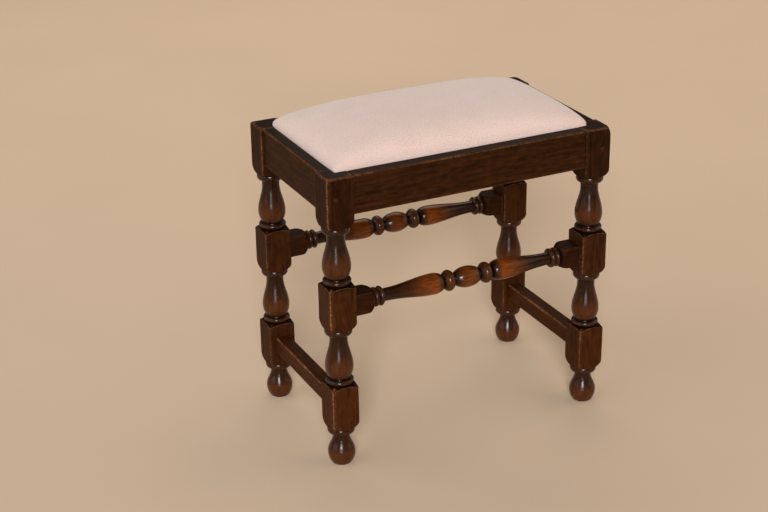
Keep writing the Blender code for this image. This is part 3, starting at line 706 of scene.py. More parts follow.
def foot():
    """The collar, the round under it and the pear-shaped ball below the low block."""
    collar = shoulder(FOOT_HEIGHT)
    round_under = ovolo(collar[-1][1] - FIT, FOOT_NECK_RADIUS + NECK_FILLET)
    neck = (FOOT_NECK_RADIUS, round_under[-1][1] - FOOT_NECK_DROP)
    ball = swelling(neck, (FOOT_BALL_RADIUS, FOOT_BALL_CENTRE), 26, 0.15)
    # The underside of the ball and the pad are painted darker, as shade
    for a in arc(12, 0, math.acos(FOOT_PAD_RADIUS / FOOT_BALL_RADIUS))[1:-1]:
        height = FOOT_BALL_CENTRE - FOOT_BALL_DROP * math.sin(a)
        ball.append((FOOT_BALL_RADIUS * math.cos(a), height, 0.35, max(math.sin(a) ** 2, WAX_FILM)))
    pad = [
        (FOOT_PAD_RADIUS, FOOT_PAD_EASE, 0.0, 0.8),
        (FOOT_PAD_RADIUS - FOOT_PAD_EASE / 3, FOOT_PAD_EASE / 3, 0.0, 0.8),
        (FOOT_PAD_RADIUS - FOOT_PAD_EASE, 0.0, 0.0, 0.8),
        (0.0, 0.0, 0.0, 0.5),
    ]
    return collar + round_under + ball + pad


def refined(outline):
    """The outline with points added on its long runs."""
    points = [outline[0]]
    for first, last in zip(outline, outline[1:]):
        length = math.hypot(last[0] - first[0], last[1] - first[1])
        points += straight(first, last, max(1, math.ceil(length / RUN_STEP)))
    return points


def leg_outline(ease):
    """A whole leg from its top down, before it is planed to its square."""
    # The top end is painted dark as shade, and the rows by its edge somewhat darker
    cap = [(radius, LEG_TOP, 0.0, END_GRAIN_SHADE) for radius in (0.0, HALF_SQUARE - 2 * ease)]
    rise = [LEG_TOP - ease * (1 - math.cos(a)) for a in arc(6, 0, math.pi / 2)]
    edge = [(BILLET_RADIUS, height, 0.0, TOP_EDGE_DARKENING) for height in rise]
    edge += straight(edge[-1], (BILLET_RADIUS, LEG_TOP - LEG_TOP_ROWS_DEPTH, 0.0, TOP_EDGE_DARKENING), LEG_TOP_ROWS)
    upper = turning(TOP_BLOCK_BOTTOM, MID_BLOCK_TOP)
    lower = turning(MID_BLOCK_BOTTOM, LOW_BLOCK_TOP)
    return cap + refined(edge + upper + lower + foot())


def half_stretcher(end):
    """A turned stretcher from its middle ball out to the end of its square block."""
    block = end - STRETCHER_BLOCK
    rings = block - 2 * STRETCHER_RING
    belly = STRETCHER_BELLY_FROM_MIDDLE
    ball_reach = STRETCHER_BALL_HALF / math.sin(STRETCHER_BALL_ANGLE)
    # Painted shade darkens the ends of the ball and the pears, the coves of the bead and the rings, and the
    # foot of the shoulder
    points = []
    for a in arc(14, 0.0, STRETCHER_BALL_ANGLE):
        turned_away = a / STRETCHER_BALL_ANGLE
        aged_and_shaded = (0.8 - 0.6 * turned_away, 0.1 + 0.9 * turned_away**3)
        points.append((STRETCHER_BELLY_RADIUS * math.cos(a), ball_reach * math.sin(a), *aged_and_shaded))
    bead = STRETCHER_BALL_HALF + FIT
    for a in arc(20, 0, math.pi):
        crest = math.sin(a) ** 2
        radius = STRETCHER_COVE_RADIUS + (STRETCHER_BELLY_RADIUS - STRETCHER_COVE_RADIUS) * crest
        aged_and_shaded = (TURNED_RUB + 0.2 * crest, WAX_FILM + (1 - WAX_FILM) * (1 - crest) ** 1.5)
        points.append((radius, bead + STRETCHER_BEAD_WIDTH * (1 - math.cos(a)) / 2, *aged_and_shaded))
    pear = bead + STRETCHER_BEAD_WIDTH + FIT
    pear_swell = STRETCHER_BELLY_RADIUS - STRETCHER_PEAR_END_RADIUS
    for a in arc(14, 0, math.pi / 2):
        radius = STRETCHER_PEAR_END_RADIUS + pear_swell * math.sin(a)
        height = pear + (belly - pear) * (1 - math.cos(a))
        aged_and_shaded = (TURNED_RUB + 0.8 * math.sin(a) ** 4, 0.1 + 0.9 * math.cos(a) ** 2)
        points.append((radius, height, *aged_and_shaded))
    points += swelling((STRETCHER_NECK_RADIUS, rings), points[-1], 30, 0.8, STRETCHER_PEAR_HOLLOW)[-2::-1]
    for i in (1, 2):
        top = rings + i * STRETCHER_RING
        points += ring(top, STRETCHER_RING - FIT, STRETCHER_RING_RADIUS, STRETCHER_COVE_RADIUS)[::-1]
    billet = STRETCHER_HALF_SQUARE * math.sqrt(2) * BILLET_ALLOWANCE
    for a in arc(24, 0, math.pi / 2)[1:]:
        radius = STRETCHER_COVE_RADIUS + (billet - STRETCHER_COVE_RADIUS) * math.sin(a)
        height = block + STRETCHER_SHOULDER * (1 - math.cos(a))
        points.append((radius, height, 0.0, 0.35 + 0.5 * math.cos(a) ** 6))
    return points + [(billet, end, 0.0, 0.3)]


def turned_solid(outline):
    """A bmesh turned about Z from an outline that runs from the top down."""
    bm = bmesh.new()
    verts = [bm.verts.new((point[0], 0.0, point[1])) for point in outline]
    edges = [bm.edges.new(pair) for pair in zip(verts, verts[1:])]
    bmesh.ops.spin(
        bm,
        geom=verts + edges,
        cent=(0, 0, 0),
        axis=(0, 0, 1),
        angle=math.tau,
        steps=TURNING_STEPS,
        use_merge=True,
    )
    bmesh.ops.remove_doubles(bm, verts=bm.verts, dist=TINY)
    bmesh.ops.recalc_face_normals(bm, faces=bm.faces)
    return bm


def square_reach(fold, half, ease):
    """From the middle of a square with rounded corners to its edge; fold is the angle off a face's middle."""
    flat = half / math.cos(fold)
    inner = half - ease
    if flat * math.sin(fold) <= inner:
        return flat
    lean = inner * (math.cos(fold) - math.sin(fold))
    return inner * (math.cos(fold) + math.sin(fold)) + math.sqrt(max(0.0, ease * ease - lean * lean))


def plane_square(bm, outline, half, wood, handled, worn, seed, darkened):
    """Planes a turned solid to the square it came from, and marks how every point has aged.

    handled is the direction of the arris most touched; worn and darkened give the wear of arrises and how
    much darker the faces are painted at a height."""
    age_and_shade = bm.verts.layers.float_vector.new("age_and_shade")
    rising = sorted(outline, key=lambda point: point[1])
    heights = [point[1] for point in rising]
    top = heights[-1]
    for v in bm.verts:
        i = min(bisect.bisect_left(heights, v.co.z), len(rising) - 1)
        rub, shade_and_wax = rising[i][2:]
        radius = v.co.xy.length
        if radius < TINY:
            v[age_and_shade] = (0.0, rub, shade_and_wax)
            continue
        angle = math.atan2(v.co.y, v.co.x)
        # Points are crowded towards the arrises, where the shape is finest
        angle += CORNER_CROWDING * math.sin(4 * angle) / 4
        fold = abs((angle + math.pi / 4) % (math.pi / 2) - math.pi / 4)
        corner = (math.floor(angle / (math.pi / 2)) + 0.5) * math.pi / 2
        # Each arris is worn more and less along its length, and is rounder where it is worn more
        use = 0.5 + 0.5 * noise_at(seed + corner, v.co.z / ARRIS_USE_WAVE)
        ease = wood.arris_ease * (0.7 + 0.8 * use)
        # The edges round the top are eased as well
        drop = max(0.0, wood.arris_ease - (top - v.co.z))
        here = half - wood.arris_ease + math.sqrt(wood.arris_ease**2 - drop**2)
        reach = square_reach(fold, here, ease)
        wear = 0.0
        if radius > half:
            # A bright line on the arris and a faint band beside it, most at the corner that is handled
            exposed = worn(v.co.z) * (0.15 + 0.85 * (0.5 + 0.5 * math.cos(corner - handled)) ** 4)
            strip = wood.wear_width * (0.5 + use)
            gap = half * (1 - math.tan(fold))
            wear = exposed * (0.2 * falloff(gap, 3 * strip) + 0.8 * falloff(gap, 0.6 * strip))
            wear = max(wear, 0.4 * falloff(top - v.co.z, strip))
            # The arched edges, where a turned shoulder runs into a face, are rubbed too
            if shade_and_wax > 0.5:
                wear = max(wear, 0.7 * falloff(abs(radius - reach), SHOULDER_WEAR_WIDTH))
            # Planed faces take their own painted darkening in place of the turning's
            if radius > reach:
                rub, shade_and_wax = 0.0, darkened(v.co.z)
            wear *= 0.35 + 0.75 * use
            radius = soft_min(radius, reach, min(wood.soft_edge, radius - half) + TINY)
            radius += wood.ripple * noise_at(seed, v.co.z / PLANE_WAVE, angle / PLANE_TURN)
        v.co.x = radius * math.cos(angle)
        v.co.y = radius * math.sin(angle)
        v[age_and_shade] = (wear, rub, shade_and_wax)


def knock_corner(bm, half, top, sign, size):
    """Rounds off the top corner of a square that has been knocked over the years."""
    for v in bm.verts:
        left = 2 * half - sign[0] * v.co.x - sign[1] * v.co.y + top - v.co.z
        kept = -soft_min(-left, -size, size)
        v.co -= Vector((sign[0], sign[1], 1.0)) * (kept - left) / 3


def board(section, eases, length, wood, seed, upward_shade):
    """A bmesh of a planed board along X: its section is drawn out, its arrises eased and aged.

    section holds (depth, height) corners, eases the rounding and the wear of each corner, and the last value
    is the painted shade on the faces that look up; the others have a quarter of it."""
    bm = bmesh.new()
    face = bm.faces.new([bm.verts.new((-length / 2, depth, height)) for depth, height in section])
    made = bmesh.ops.extrude_face_region(bm, geom=[face], use_keep_orig=True)["geom"]
    moved = [v for v in made if isinstance(v, bmesh.types.BMVert)]
    bmesh.ops.translate(bm, verts=moved, vec=(length, 0, 0))
    bmesh.ops.recalc_face_normals(bm, faces=bm.faces)
    arrises = []
    for (depth, height), (ease, _) in zip(section, eases):
        for edge in bm.edges:
            if all(abs(v.co.y - depth) + abs(v.co.z - height) < TINY for v in edge.verts):
                arrises.append((edge, ease))
    for edge, ease in arrises:
        bmesh.ops.bevel(bm, geom=[edge], offset=ease, segments=4, profile=0.5, affect="EDGES", material=-1)
    # Rows of points beside the arrises and along the board carry the wear and the waves
    cuts = []
    for depth, height in section:
        for step in BOARD_CUTS:
            cuts += [(depth - step, 1), (depth + step, 1), (height - step, 2), (height + step, 2)]
    count = round(length / BOARD_STEP)
    cuts += [(length * (i / count - 0.5), 0) for i in range(1, count)]
    for place, axis in cuts:
        point = [0.0, 0.0, 0.0]
        point[axis] = place
        normal = [float(i == axis) for i in range(3)]
        geom = bm.verts[:] + bm.edges[:] + bm.faces[:]
        bmesh.ops.bisect_plane(bm, geom=geom, dist=CUT_SNAP, plane_co=point, plane_no=normal)
    age_and_shade = bm.verts.layers.float_vector.new("age_and_shade")
    bm.normal_update()
    for v in bm.verts:
        wear = 0.0
        for i, ((depth, height), (_, strength)) in enumerate(zip(section, eases)):
            use = 0.5 + 0.5 * noise_at(seed + i, v.co.x / BOARD_USE_WAVE)
            gap = math.hypot(v.co.y - depth, v.co.z - height)
            wear = max(wear, strength * (0.3 + 0.8 * use) * falloff(gap, wood.wear_width * (0.6 + use)))
        # Faces that look up are painted darker as shade, the others by a quarter as much
        v[age_and_shade] = (wear, 0.0, upward_shade if v.normal.z > 0.9 else 0.25 * upward_shade)
    for v in bm.verts:
        across = (v.co.y + v.co.z) / BOARD_CROSS_WAVE
        v.co += v.normal * wood.ripple * noise_at(seed, v.co.x / BOARD_PLANE_WAVE, across)
    return bm


def side_matrix(side, outer):
    """Turns a board made along X, whose depth runs along +Y, to one side of the stool."""
    turn, place = {
        "front": (0.0, (0.0, -outer, 0.0)),
        "back": (math.pi, (0.0, outer, 0.0)),
        "left": (-math.pi / 2, (-outer, 0.0, 0.0)),
        "right": (math.pi / 2, (outer, 0.0, 0.0)),
    }[side]
    return Matrix.Translation(place) @ Matrix.Rotation(turn, 4, "Z")


class STOOL_OT_legs(bpy.types.Operator):
    """Four legs turned from the square, cut away at the top for the seat and bored for the pegs"""

    bl_idname = "stool.legs"
    bl_label = "Legs"

    def execute(self, context):
        wood = context.scene.stool_wood
        outline = leg_outline(wood.arris_ease)
        for seed, (corner, sign) in enumerate(CORNERS.items(), LEG_SEED):
            low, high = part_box("leg_" + corner)
            axis = (low + high) / 2
            bm = turned_solid(outline)
            low_wear, top_wear, face_darkening, knock = LEG_AGE[corner]
            plane_square(
                bm,
                outline,
                HALF_SQUARE,
                wood,
                handled=-0.75 * math.pi,
                worn=lambda z: top_wear if z > MID_BLOCK_TOP else low_wear,
                seed=seed,
                darkened=lambda z: TOP_BLOCK_DARKENING if z > MID_BLOCK_TOP else face_darkening,
            )
            knock_corner(bm, HALF_SQUARE, LEG_TOP, sign, knock)
            bmesh.ops.translate(bm, verts=bm.verts, vec=(axis.x, axis.y, 0.0))
            leg = make_object("turned_leg_" + corner, bm)
            cut(leg, self.waste(corner, sign))
            dress(leg, oak_for(2), "stool_frame", "oak", "leg_" + corner)
        return {"FINISHED"}

    def waste(self, corner, sign):
        """The seat's corner and the peg's hole, as one cutter."""
        bm = bmesh.new()
        size = (2 * WELL_X, 2 * WELL_Y, LEG_TOP - LEDGE + OVERLAP)
        place = Matrix.Translation((0.0, 0.0, LEDGE + size[2] / 2)) @ Matrix.Diagonal((*size, 1.0))
        bmesh.ops.create_cube(bm, size=1.0, matrix=place)
        low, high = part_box("peg_" + corner)
        middle = (low + high) / 2
        middle.y = sign[1] * (HALF_SQUARE * 2 + INNER_Y)
        bore = Matrix.Translation(middle) @ Matrix.Rotation(math.pi / 2, 4, "X")
        radius = (high.x - low.x) / 2 + FIT / 3
        bmesh.ops.create_cone(
            bm, cap_ends=True, segments=40, radius1=radius, radius2=radius, depth=2 * OVERLAP, matrix=bore
        )
        return make_object("waste_" + corner, bm)


class STOOL_OT_rails(bpy.types.Operator):
    """Four rails, rebated along the top inner edge for the seat"""

    bl_idname = "stool.rails"
    bl_label = "Rails"

    def execute(self, context):
        wood = context.scene.stool_wood
        for seed, side in enumerate(SIDES, RAIL_SEED):
            low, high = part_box("rail_" + side)
            if side in LONG_SIDES:
                outer, thick, well, inner = max(-low.y, high.y), high.y - low.y, WELL_Y, INNER_X
            else:
                outer, thick, well, inner = max(-low.x, high.x), high.x - low.x, WELL_X, INNER_Y
            section = [
                (0.0, low.z),
                (0.0, high.z),
                (outer - well, high.z),
                (outer - well, LEDGE),
                (thick, LEDGE),
                (thick, low.z),
            ]
            eases = [
                (0.0016, 0.25),
                (0.0022, 0.5),
                (0.0012, 0.25),
                (0.0004, 0.0),
                (0.0010, 0.0),
                (0.0012, 0.0),
            ]
            bm = board(section, eases, 2 * (inner - FIT), wood, seed, RAIL_UPWARD_SHADE)
            bmesh.ops.transform(bm, matrix=side_matrix(side, outer), verts=bm.verts)
            rail = make_object("oak_rail_" + side, bm)
            grain = oak_for(0 if side in LONG_SIDES else 1)
            dress(rail, grain, "stool_frame", "oak", "rail_" + side)
        return {"FINISHED"}


class STOOL_OT_turned_stretchers(bpy.types.Operator):
    """Front and back stretchers, turned between square ends"""

    bl_idname = "stool.turned_stretchers"
    bl_label = "Turned stretchers"

    def execute(self, context):
        wood = context.scene.stool_wood
        half = half_stretcher(INNER_X - FIT)
        end = half[-1][1]
        cap = (STRETCHER_HALF_SQUARE - 2 * wood.arris_ease, end, 0.0, 0.0)
        half += [cap, (0.0, end, 0.0, 0.0)]
        outline = refined(half[::-1] + [(r, -d, rub, shade_and_wax) for r, d, rub, shade_and_wax in half[1:]])
        for seed, side in enumerate(LONG_SIDES, TURNED_SEED):
            low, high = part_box("turned_stretcher_" + side)
            bm = turned_solid(outline)
            plane_square(
                bm,
                outline,
                STRETCHER_HALF_SQUARE,
                wood,
                handled=math.pi / 2,
                worn=lambda height: TURNED_BAR_WEAR,
                seed=seed,
                darkened=lambda height: TURNED_BAR_DARKENING,
            )
            place = Matrix.Translation((low + high) / 2) @ Matrix.Rotation(math.pi / 2, 4, "Y")
            bmesh.ops.transform(bm, matrix=place, verts=bm.verts)
            piece = make_object("turned_bar_" + side, bm)
            dress(piece, oak_for(0), "stool_frame", "oak", "turned_stretcher_" + side)
        return {"FINISHED"}


class STOOL_OT_side_stretchers(bpy.types.Operator):
    """Plain bars between the low blocks, worn along their upper edges"""

    bl_idname = "stool.side_stretchers"
    bl_label = "Side stretchers"

    def execute(self, context):
        wood = context.scene.stool_wood
        for seed, side in enumerate(SIDES[2:], SIDE_SEED):
            low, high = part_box("side_stretcher_" + side)
            outer, thick = max(-low.x, high.x), high.x - low.x
            section = [(0.0, low.z), (0.0, high.z), (thick, high.z), (thick, low.z)]
            eases = [(0.0018, 0.4), (0.0024, 1.0), (0.0020, 0.7), (0.0016, 0.2)]
            bm = board(section, eases, 2 * (INNER_Y - FIT), wood, seed, SIDE_BAR_UPWARD_SHADE)
            bmesh.ops.transform(bm, matrix=side_matrix(side, outer), verts=bm.verts)
            piece = make_object("plain_bar_" + side, bm)
            dress(piece, oak_for(1), "stool_frame", "oak", "side_stretcher_" + side)
        return {"FINISHED"}


class STOOL_OT_pegs(bpy.types.Operator):
    """Whittled oak pegs that hold the long rails' tenons"""

    bl_idname = "stool.pegs"
    bl_label = "Pegs"

    def execute(self, context):
        for seed, (corner, sign) in enumerate(CORNERS.items(), PEG_SEED):
            low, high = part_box("peg_" + corner)
            radius, length = (high.x - low.x) / 2, high.y - low.y
            head = []
            for a in arc(8, 0, math.pi / 2):
                head.append((radius * math.sin(a), PEG_CROWN * (math.cos(a) - 1)))
            bm = turned_solid(head + [(PEG_TAPER * radius, -length), (0.0, -length)])
            age_and_shade = bm.verts.layers.float_vector.new("age_and_shade")
            for v in bm.verts:
                angle = math.atan2(v.co.y, v.co.x)
                facet = noise_at(seed, 1.4 * math.cos(angle), 1.4 * math.sin(angle))
                whittled = 1 - PEG_UNEVENNESS * (1 + facet)
                v.co.x *= whittled
                v.co.y *= whittled
                v[age_and_shade] = (0.0, PEG_RUB, 0.0)
            middle = (low + high) / 2
            middle.y = (low.y if sign[1] < 0 else high.y) + sign[1] * FIT
            place = Matrix.Translation(middle) @ Matrix.Rotation(-sign[1] * math.pi / 2, 4, "X")
            bmesh.ops.transform(bm, matrix=place, verts=bm.verts)
            peg = make_object("whittled_peg_" + corner, bm)
            dress(peg, oak_for(1), "stool_frame", "peg_oak", "peg_" + corner)
        return {"FINISHED"}


class STOOL_OT_seat_frame(bpy.types.Operator):
    """Halved beech frame of the drop-in seat"""

    bl_idname = "stool.seat_frame"
    bl_label = "Seat frame"

    def execute(self, context):
        material = planed_beech()
        for side in SIDES:
            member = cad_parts["seat_frame_" + side]
            member.data.materials.clear()
            member.data.materials.append(material)
        return {"FINISHED"}


def cloth_grid(xs, ys, height, flat_of=None):
    """A bmesh grid with a flat measure for its weave.

    height gives z, and flat_of the flat place of a point by its column and row, or else that is x and y."""
    bm = bmesh.new()
    bmesh.ops.create_grid(bm, x_segments=len(xs) - 1, y_segments=len(ys) - 1, size=1.0)
    flat = bm.verts.layers.float_vector.new("flat")
    for v in bm.verts:
        i = round((v.co.x + 1) / 2 * (len(xs) - 1))
        j = round((v.co.y + 1) / 2 * (len(ys) - 1))
        v.co = (xs[i], ys[j], height(xs[i], ys[j]))
        v[flat] = flat_of(i, j) if flat_of else (xs[i], ys[j], 0.0)
    return bm


def spread(low, high, step):
    """Evenly spaced places from low to high, about a step apart."""
    count = max(1, round((high - low) / step))
    return [low + (high - low) * i / count for i in range(count + 1)]


def thicken(obj, thickness):
    """Gives a sheet its thickness, on the side that its faces look to."""
    shell = obj.modifiers.new("thickness", "SOLIDIFY")
    shell.thickness = thickness
    shell.offset = 1.0


class STOOL_OT_webbing(bpy.types.Operator):
    """Jute straps woven over and under each other on the seat frame"""

    bl_idname = "stool.webbing"
    bl_label = "Webbing"

    def execute(self, context):
        # Jute webbing: coarse brown yarn, closely woven and dull
        material = woven_cloth("jute_webbing", 0.0022, linear("#6f5a3c"), linear("#b79a6c"), 0.95, 0.0)
        long_straps = ["webbing_long_1", "webbing_long_2"]
        cross_straps = [f"webbing_cross_{i}" for i in (1, 2, 3, 4)]
        for strap, others, axis, phase in (
            *((name, cross_straps, 0, i) for i, name in enumerate(long_straps)),
            *((name, long_straps, 1, i + 1) for i, name in enumerate(cross_straps)),
        ):
            low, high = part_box(strap)
            over = []
            for k, other in enumerate(others):
                if (phase + k) % 2 == 0:
                    first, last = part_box(other)
                    over.append((first[axis] - FIT, last[axis] + FIT))
            self.strap(strap, low, high, axis, over, material)
        return {"FINISHED"}

    def strap(self, name, low, high, axis, over, material):
        """One strap, lifted over the straps between each pair of places in over."""

        def height(x, y):
            place = (x, y)[axis]
            gaps = [max(first - place, place - last, 0.0) for first, last in over]
            return low.z + STRAP_LIFT * max([falloff(gap, STRAP_RAMP) for gap in gaps] or [0.0])

        cells = (STRAP_CELL, SHEET_CELL) if axis == 0 else (SHEET_CELL, STRAP_CELL)
        xs, ys = spread(low.x, high.x, cells[0]), spread(low.y, high.y, cells[1])
        obj = make_object("jute_" + name, cloth_grid(xs, ys, height))
        thicken(obj, STRAP_THICKNESS)
        dress(obj, material, "drop_in_seat", "jute", name)


class STOOL_OT_hessian(bpy.types.Operator):
    """Hessian stretched over the webbing"""

    bl_idname = "stool.hessian"
    bl_label = "Hessian"

    def execute(self, context):
        # Hessian: loose golden brown sacking, dull
        material = woven_cloth("hessian", 0.0020, linear("#7d6540"), linear("#b8955f"), 0.95, 0.0)
        xs = spread(HESSIAN_LOW.x, HESSIAN_HIGH.x, SHEET_CELL)
        ys = spread(HESSIAN_LOW.y, HESSIAN_HIGH.y, SHEET_CELL)

        def height(x, y):
            wave = noise_at(HESSIAN_SEED, x / HESSIAN_WAVE, y / HESSIAN_WAVE)
            return HESSIAN_LOW.z + HESSIAN_UNEVENNESS * (1 + wave)

        obj = make_object("hessian_sheet", cloth_grid(xs, ys, height))
        thicken(obj, SHEET_THICKNESS)
        dress(obj, material, "drop_in_seat", "hessian", "hessian")
        return {"FINISHED"}


def crown_height(x, y, half_x, half_y, crown):
    """Height of the crowned seat above its rim, steep at the edges and broad on top."""
    across = max(0.0, 1 - (x / half_x) ** CROWN_POWER)
    along = max(0.0, 1 - (y / half_y) ** CROWN_POWER)
    return crown * (across * along) ** CROWN_FULLNESS


def even_places(half, rise, step):
    """Places across the seat that are evenly spaced along its curved surface."""
    fine = [-half + 2 * half * i / CROWN_SAMPLES for i in range(CROWN_SAMPLES + 1)]
    lengths = [0.0]
    for a, b in zip(fine, fine[1:]):
        lengths.append(lengths[-1] + math.hypot(b - a, rise(b) - rise(a)))
    count = round(lengths[-1] / step)
    places = []
    for i in range(count + 1):
        nearest = bisect.bisect_left(lengths, lengths[-1] * i / count)
        places.append(fine[min(nearest, CROWN_SAMPLES)])
    return places, lengths[-1] / count


class STOOL_OT_linen_cover(bpy.types.Operator):
    """Linen drawn over the stuffing and turned under the seat frame"""

    bl_idname = "stool.linen_cover"
    bl_label = "Linen cover"

    def execute(self, context):
        seat = context.scene.stool_seat
        half_x, half_y = COVER_HIGH.x - LINEN_THICKNESS, COVER_HIGH.y - LINEN_THICKNESS
        rim = LEG_TOP + seat.rim_rise

        def top(x, y):
            return rim + crown_height(x, y, half_x, half_y, seat.crown)

        xs, cell_x = even_places(half_x, lambda x: top(x, 0.0), LINEN_CELL)
        ys, cell_y = even_places(half_y, lambda y: top(0.0, y), LINEN_CELL)

        def flat_of(i, j):
            return (i - (len(xs) - 1) / 2) * cell_x, (j - (len(ys) - 1) / 2) * cell_y, 0.0

        bm = cloth_grid(xs, ys, top, flat_of)
        for v in bm.verts:
            v.co.xy = self.rounded(v.co.x, v.co.y, half_x, half_y, seat.corner)
        self.draw_down(bm, rim, COVER_LOW.z + LINEN_THICKNESS, seat.turn_under)
        bmesh.ops.recalc_face_normals(bm, faces=bm.faces)
        cover = make_object("linen_sheet", bm)
        self.settle(cover, rim, seat)
        self.keep_height(cover, rim, seat.crown)
        thicken(cover, LINEN_THICKNESS)
        fine = cover.modifiers.new("smooth", "SUBSURF")
        fine.levels = 1
        fine.render_levels = 1
        # Linen: pale oatmeal yarn with darker flecks and a soft sheen. It has about two threads to the
        # millimetre, which are drawn twice as coarse, so that they show
        material = woven_cloth("oatmeal_linen", seat.thread, seat.linen_fleck, seat.linen, 0.9, 0.25)
        dress(cover, material, "drop_in_seat", "linen", "linen_cover")
        return {"FINISHED"}

    def rounded(self, x, y, half_x, half_y, corner):
        """Draws the corner of a rectangle in to a round."""
        over_x = abs(x) - (half_x - corner)
        over_y = abs(y) - (half_y - corner)
        if over_x <= 0 or over_y <= 0:
            return x, y
        scale = max(over_x, over_y) / math.hypot(over_x, over_y)
        x = math.copysign(half_x - corner + over_x * scale, x)
        y = math.copysign(half_y - corner + over_y * scale, y)
        return x, y

    def draw_down(self, bm, rim, under, turn_under):
        """Walls down the sides of the seat frame and the strip turned under it."""
        flat = bm.verts.layers.float_vector["flat"]
        steps = [(0.0, z) for z in spread(rim, under, -LINEN_CELL)[1:]]
        steps += [(d, under) for d in spread(0.0, turn_under, SHEET_CELL)[1:]]
        inset, level = 0.0, rim
        for further, z in steps:
            edges = [e for e in bm.edges if e.is_boundary]
            made = bmesh.ops.extrude_edge_only(bm, edges=edges)["geom"]
            run = level - z + further - inset
            for v in (g for g in made if isinstance(g, bmesh.types.BMVert)):
                away = Vector((v.co.x, v.co.y, 0.0))
                reach_x, reach_y = COVER_HIGH.x - abs(v.co.x), COVER_HIGH.y - abs(v.co.y)
                facing = Vector((math.copysign(1.0, away.x), 0.0, 0.0))
                if reach_y < reach_x:
                    facing = Vector((0.0, math.copysign(1.0, away.y), 0.0))
                v[flat] = Vector(v[flat]) + facing * run
                pull = further - inset
                v.co.x *= 1 - pull / COVER_HIGH.x
                v.co.y *= 1 - pull / COVER_HIGH.y
                v.co.z = z
            inset, level = further, z

    def settle(self, cover, rim, seat):
        """Lets the stuffing push the linen out by cloth simulation; the edge that is tacked down stays."""
        bm = bmesh.new()
        bm.from_mesh(cover.data)
        bmesh.ops.holes_fill(bm, edges=[e for e in bm.edges if e.is_boundary], sides=0)
        trial = make_object("linen_trial", bm)
        held = trial.vertex_groups.new(name="tacked")
        start = [v.co.copy() for v in trial.data.vertices]
        held.add([i for i, co in enumerate(start) if co.z < rim + TINY], 1.0, "REPLACE")
        modifier = trial.modifiers.new("settle", "CLOTH")
        modifier.settings.use_pressure = True
        modifier.settings.uniform_pressure_force = seat.pressure
        modifier.settings.vertex_group_mass = held.name
        modifier.settings.effector_weights.gravity = 0.0
        modifier.settings.quality = CLOTH_QUALITY
        modifier.collision_settings.use_collision = False
        scene = bpy.context.scene
        for step in range(1, seat.settle_frames + 1):
            scene.frame_set(step)
        settled = trial.evaluated_get(bpy.context.evaluated_depsgraph_get()).data
        moves = [new.co - old for old, new in zip(start, settled.vertices)]
        for move in moves:
            if move.length > seat.most_move:
                move.length = seat.most_move
        for v, move in zip(cover.data.vertices, self.evened(trial.data, moves)):
            if v.co.z > rim + TINY:
                v.co += move
        bpy.data.objects.remove(trial)
        scene.frame_set(1)

    def evened(self, mesh, moves):
        """The moves averaged with their neighbours' again and again, so that tight linen keeps no crease."""
        for _ in range(EVENING_ROUNDS):
            total = [move.copy() for move in moves]
            count = [1] * len(moves)
            for edge in mesh.edges:
                a, b = edge.vertices
                total[a] += moves[b]
                total[b] += moves[a]
                count[a] += 1
                count[b] += 1
            moves = [sum_of / n for sum_of, n in zip(total, count)]
        return moves

    def keep_height(self, cover, rim, crown):
        """Brings the crown back to its own height after it has settled."""
        highest = max(v.co.z for v in cover.data.vertices)
        for v in cover.data.vertices:
            if v.co.z > rim:
                v.co.z = rim + (v.co.z - rim) * crown / (highest - rim)


class STOOL_OT_stuffing(bpy.types.Operator):
    """Wadding under the linen"""

    bl_idname = "stool.stuffing"
    bl_label = "Stuffing"

    def execute(self, context):
        low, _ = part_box("stuffing_pad")
        bm = bmesh.new()
        bm.from_mesh(bpy.data.objects["linen_sheet"].data)
        bm.normal_update()
        lower = [v for v in bm.verts if v.co.z < low.z + STUFFING_CUT]
        bmesh.ops.delete(bm, geom=lower, context="VERTS")
        bm.normal_update()
        for v in bm.verts:
            v.co -= v.normal * LINEN_THICKNESS
        rim = [e for e in bm.edges if e.is_boundary]
        floor = bmesh.ops.extrude_edge_only(bm, edges=rim)["geom"]
        for v in (g for g in floor if isinstance(g, bmesh.types.BMVert)):
            v.co.z = low.z
        bmesh.ops.holes_fill(bm, edges=[e for e in bm.edges if e.is_boundary], sides=0)
        bmesh.ops.recalc_face_normals(bm, faces=bm.faces)
        pad = make_object("wadding_pad", bm)
        dress(pad, cotton_wadding(), "drop_in_seat", "fibre", "stuffing_pad")
        return {"FINISHED"}


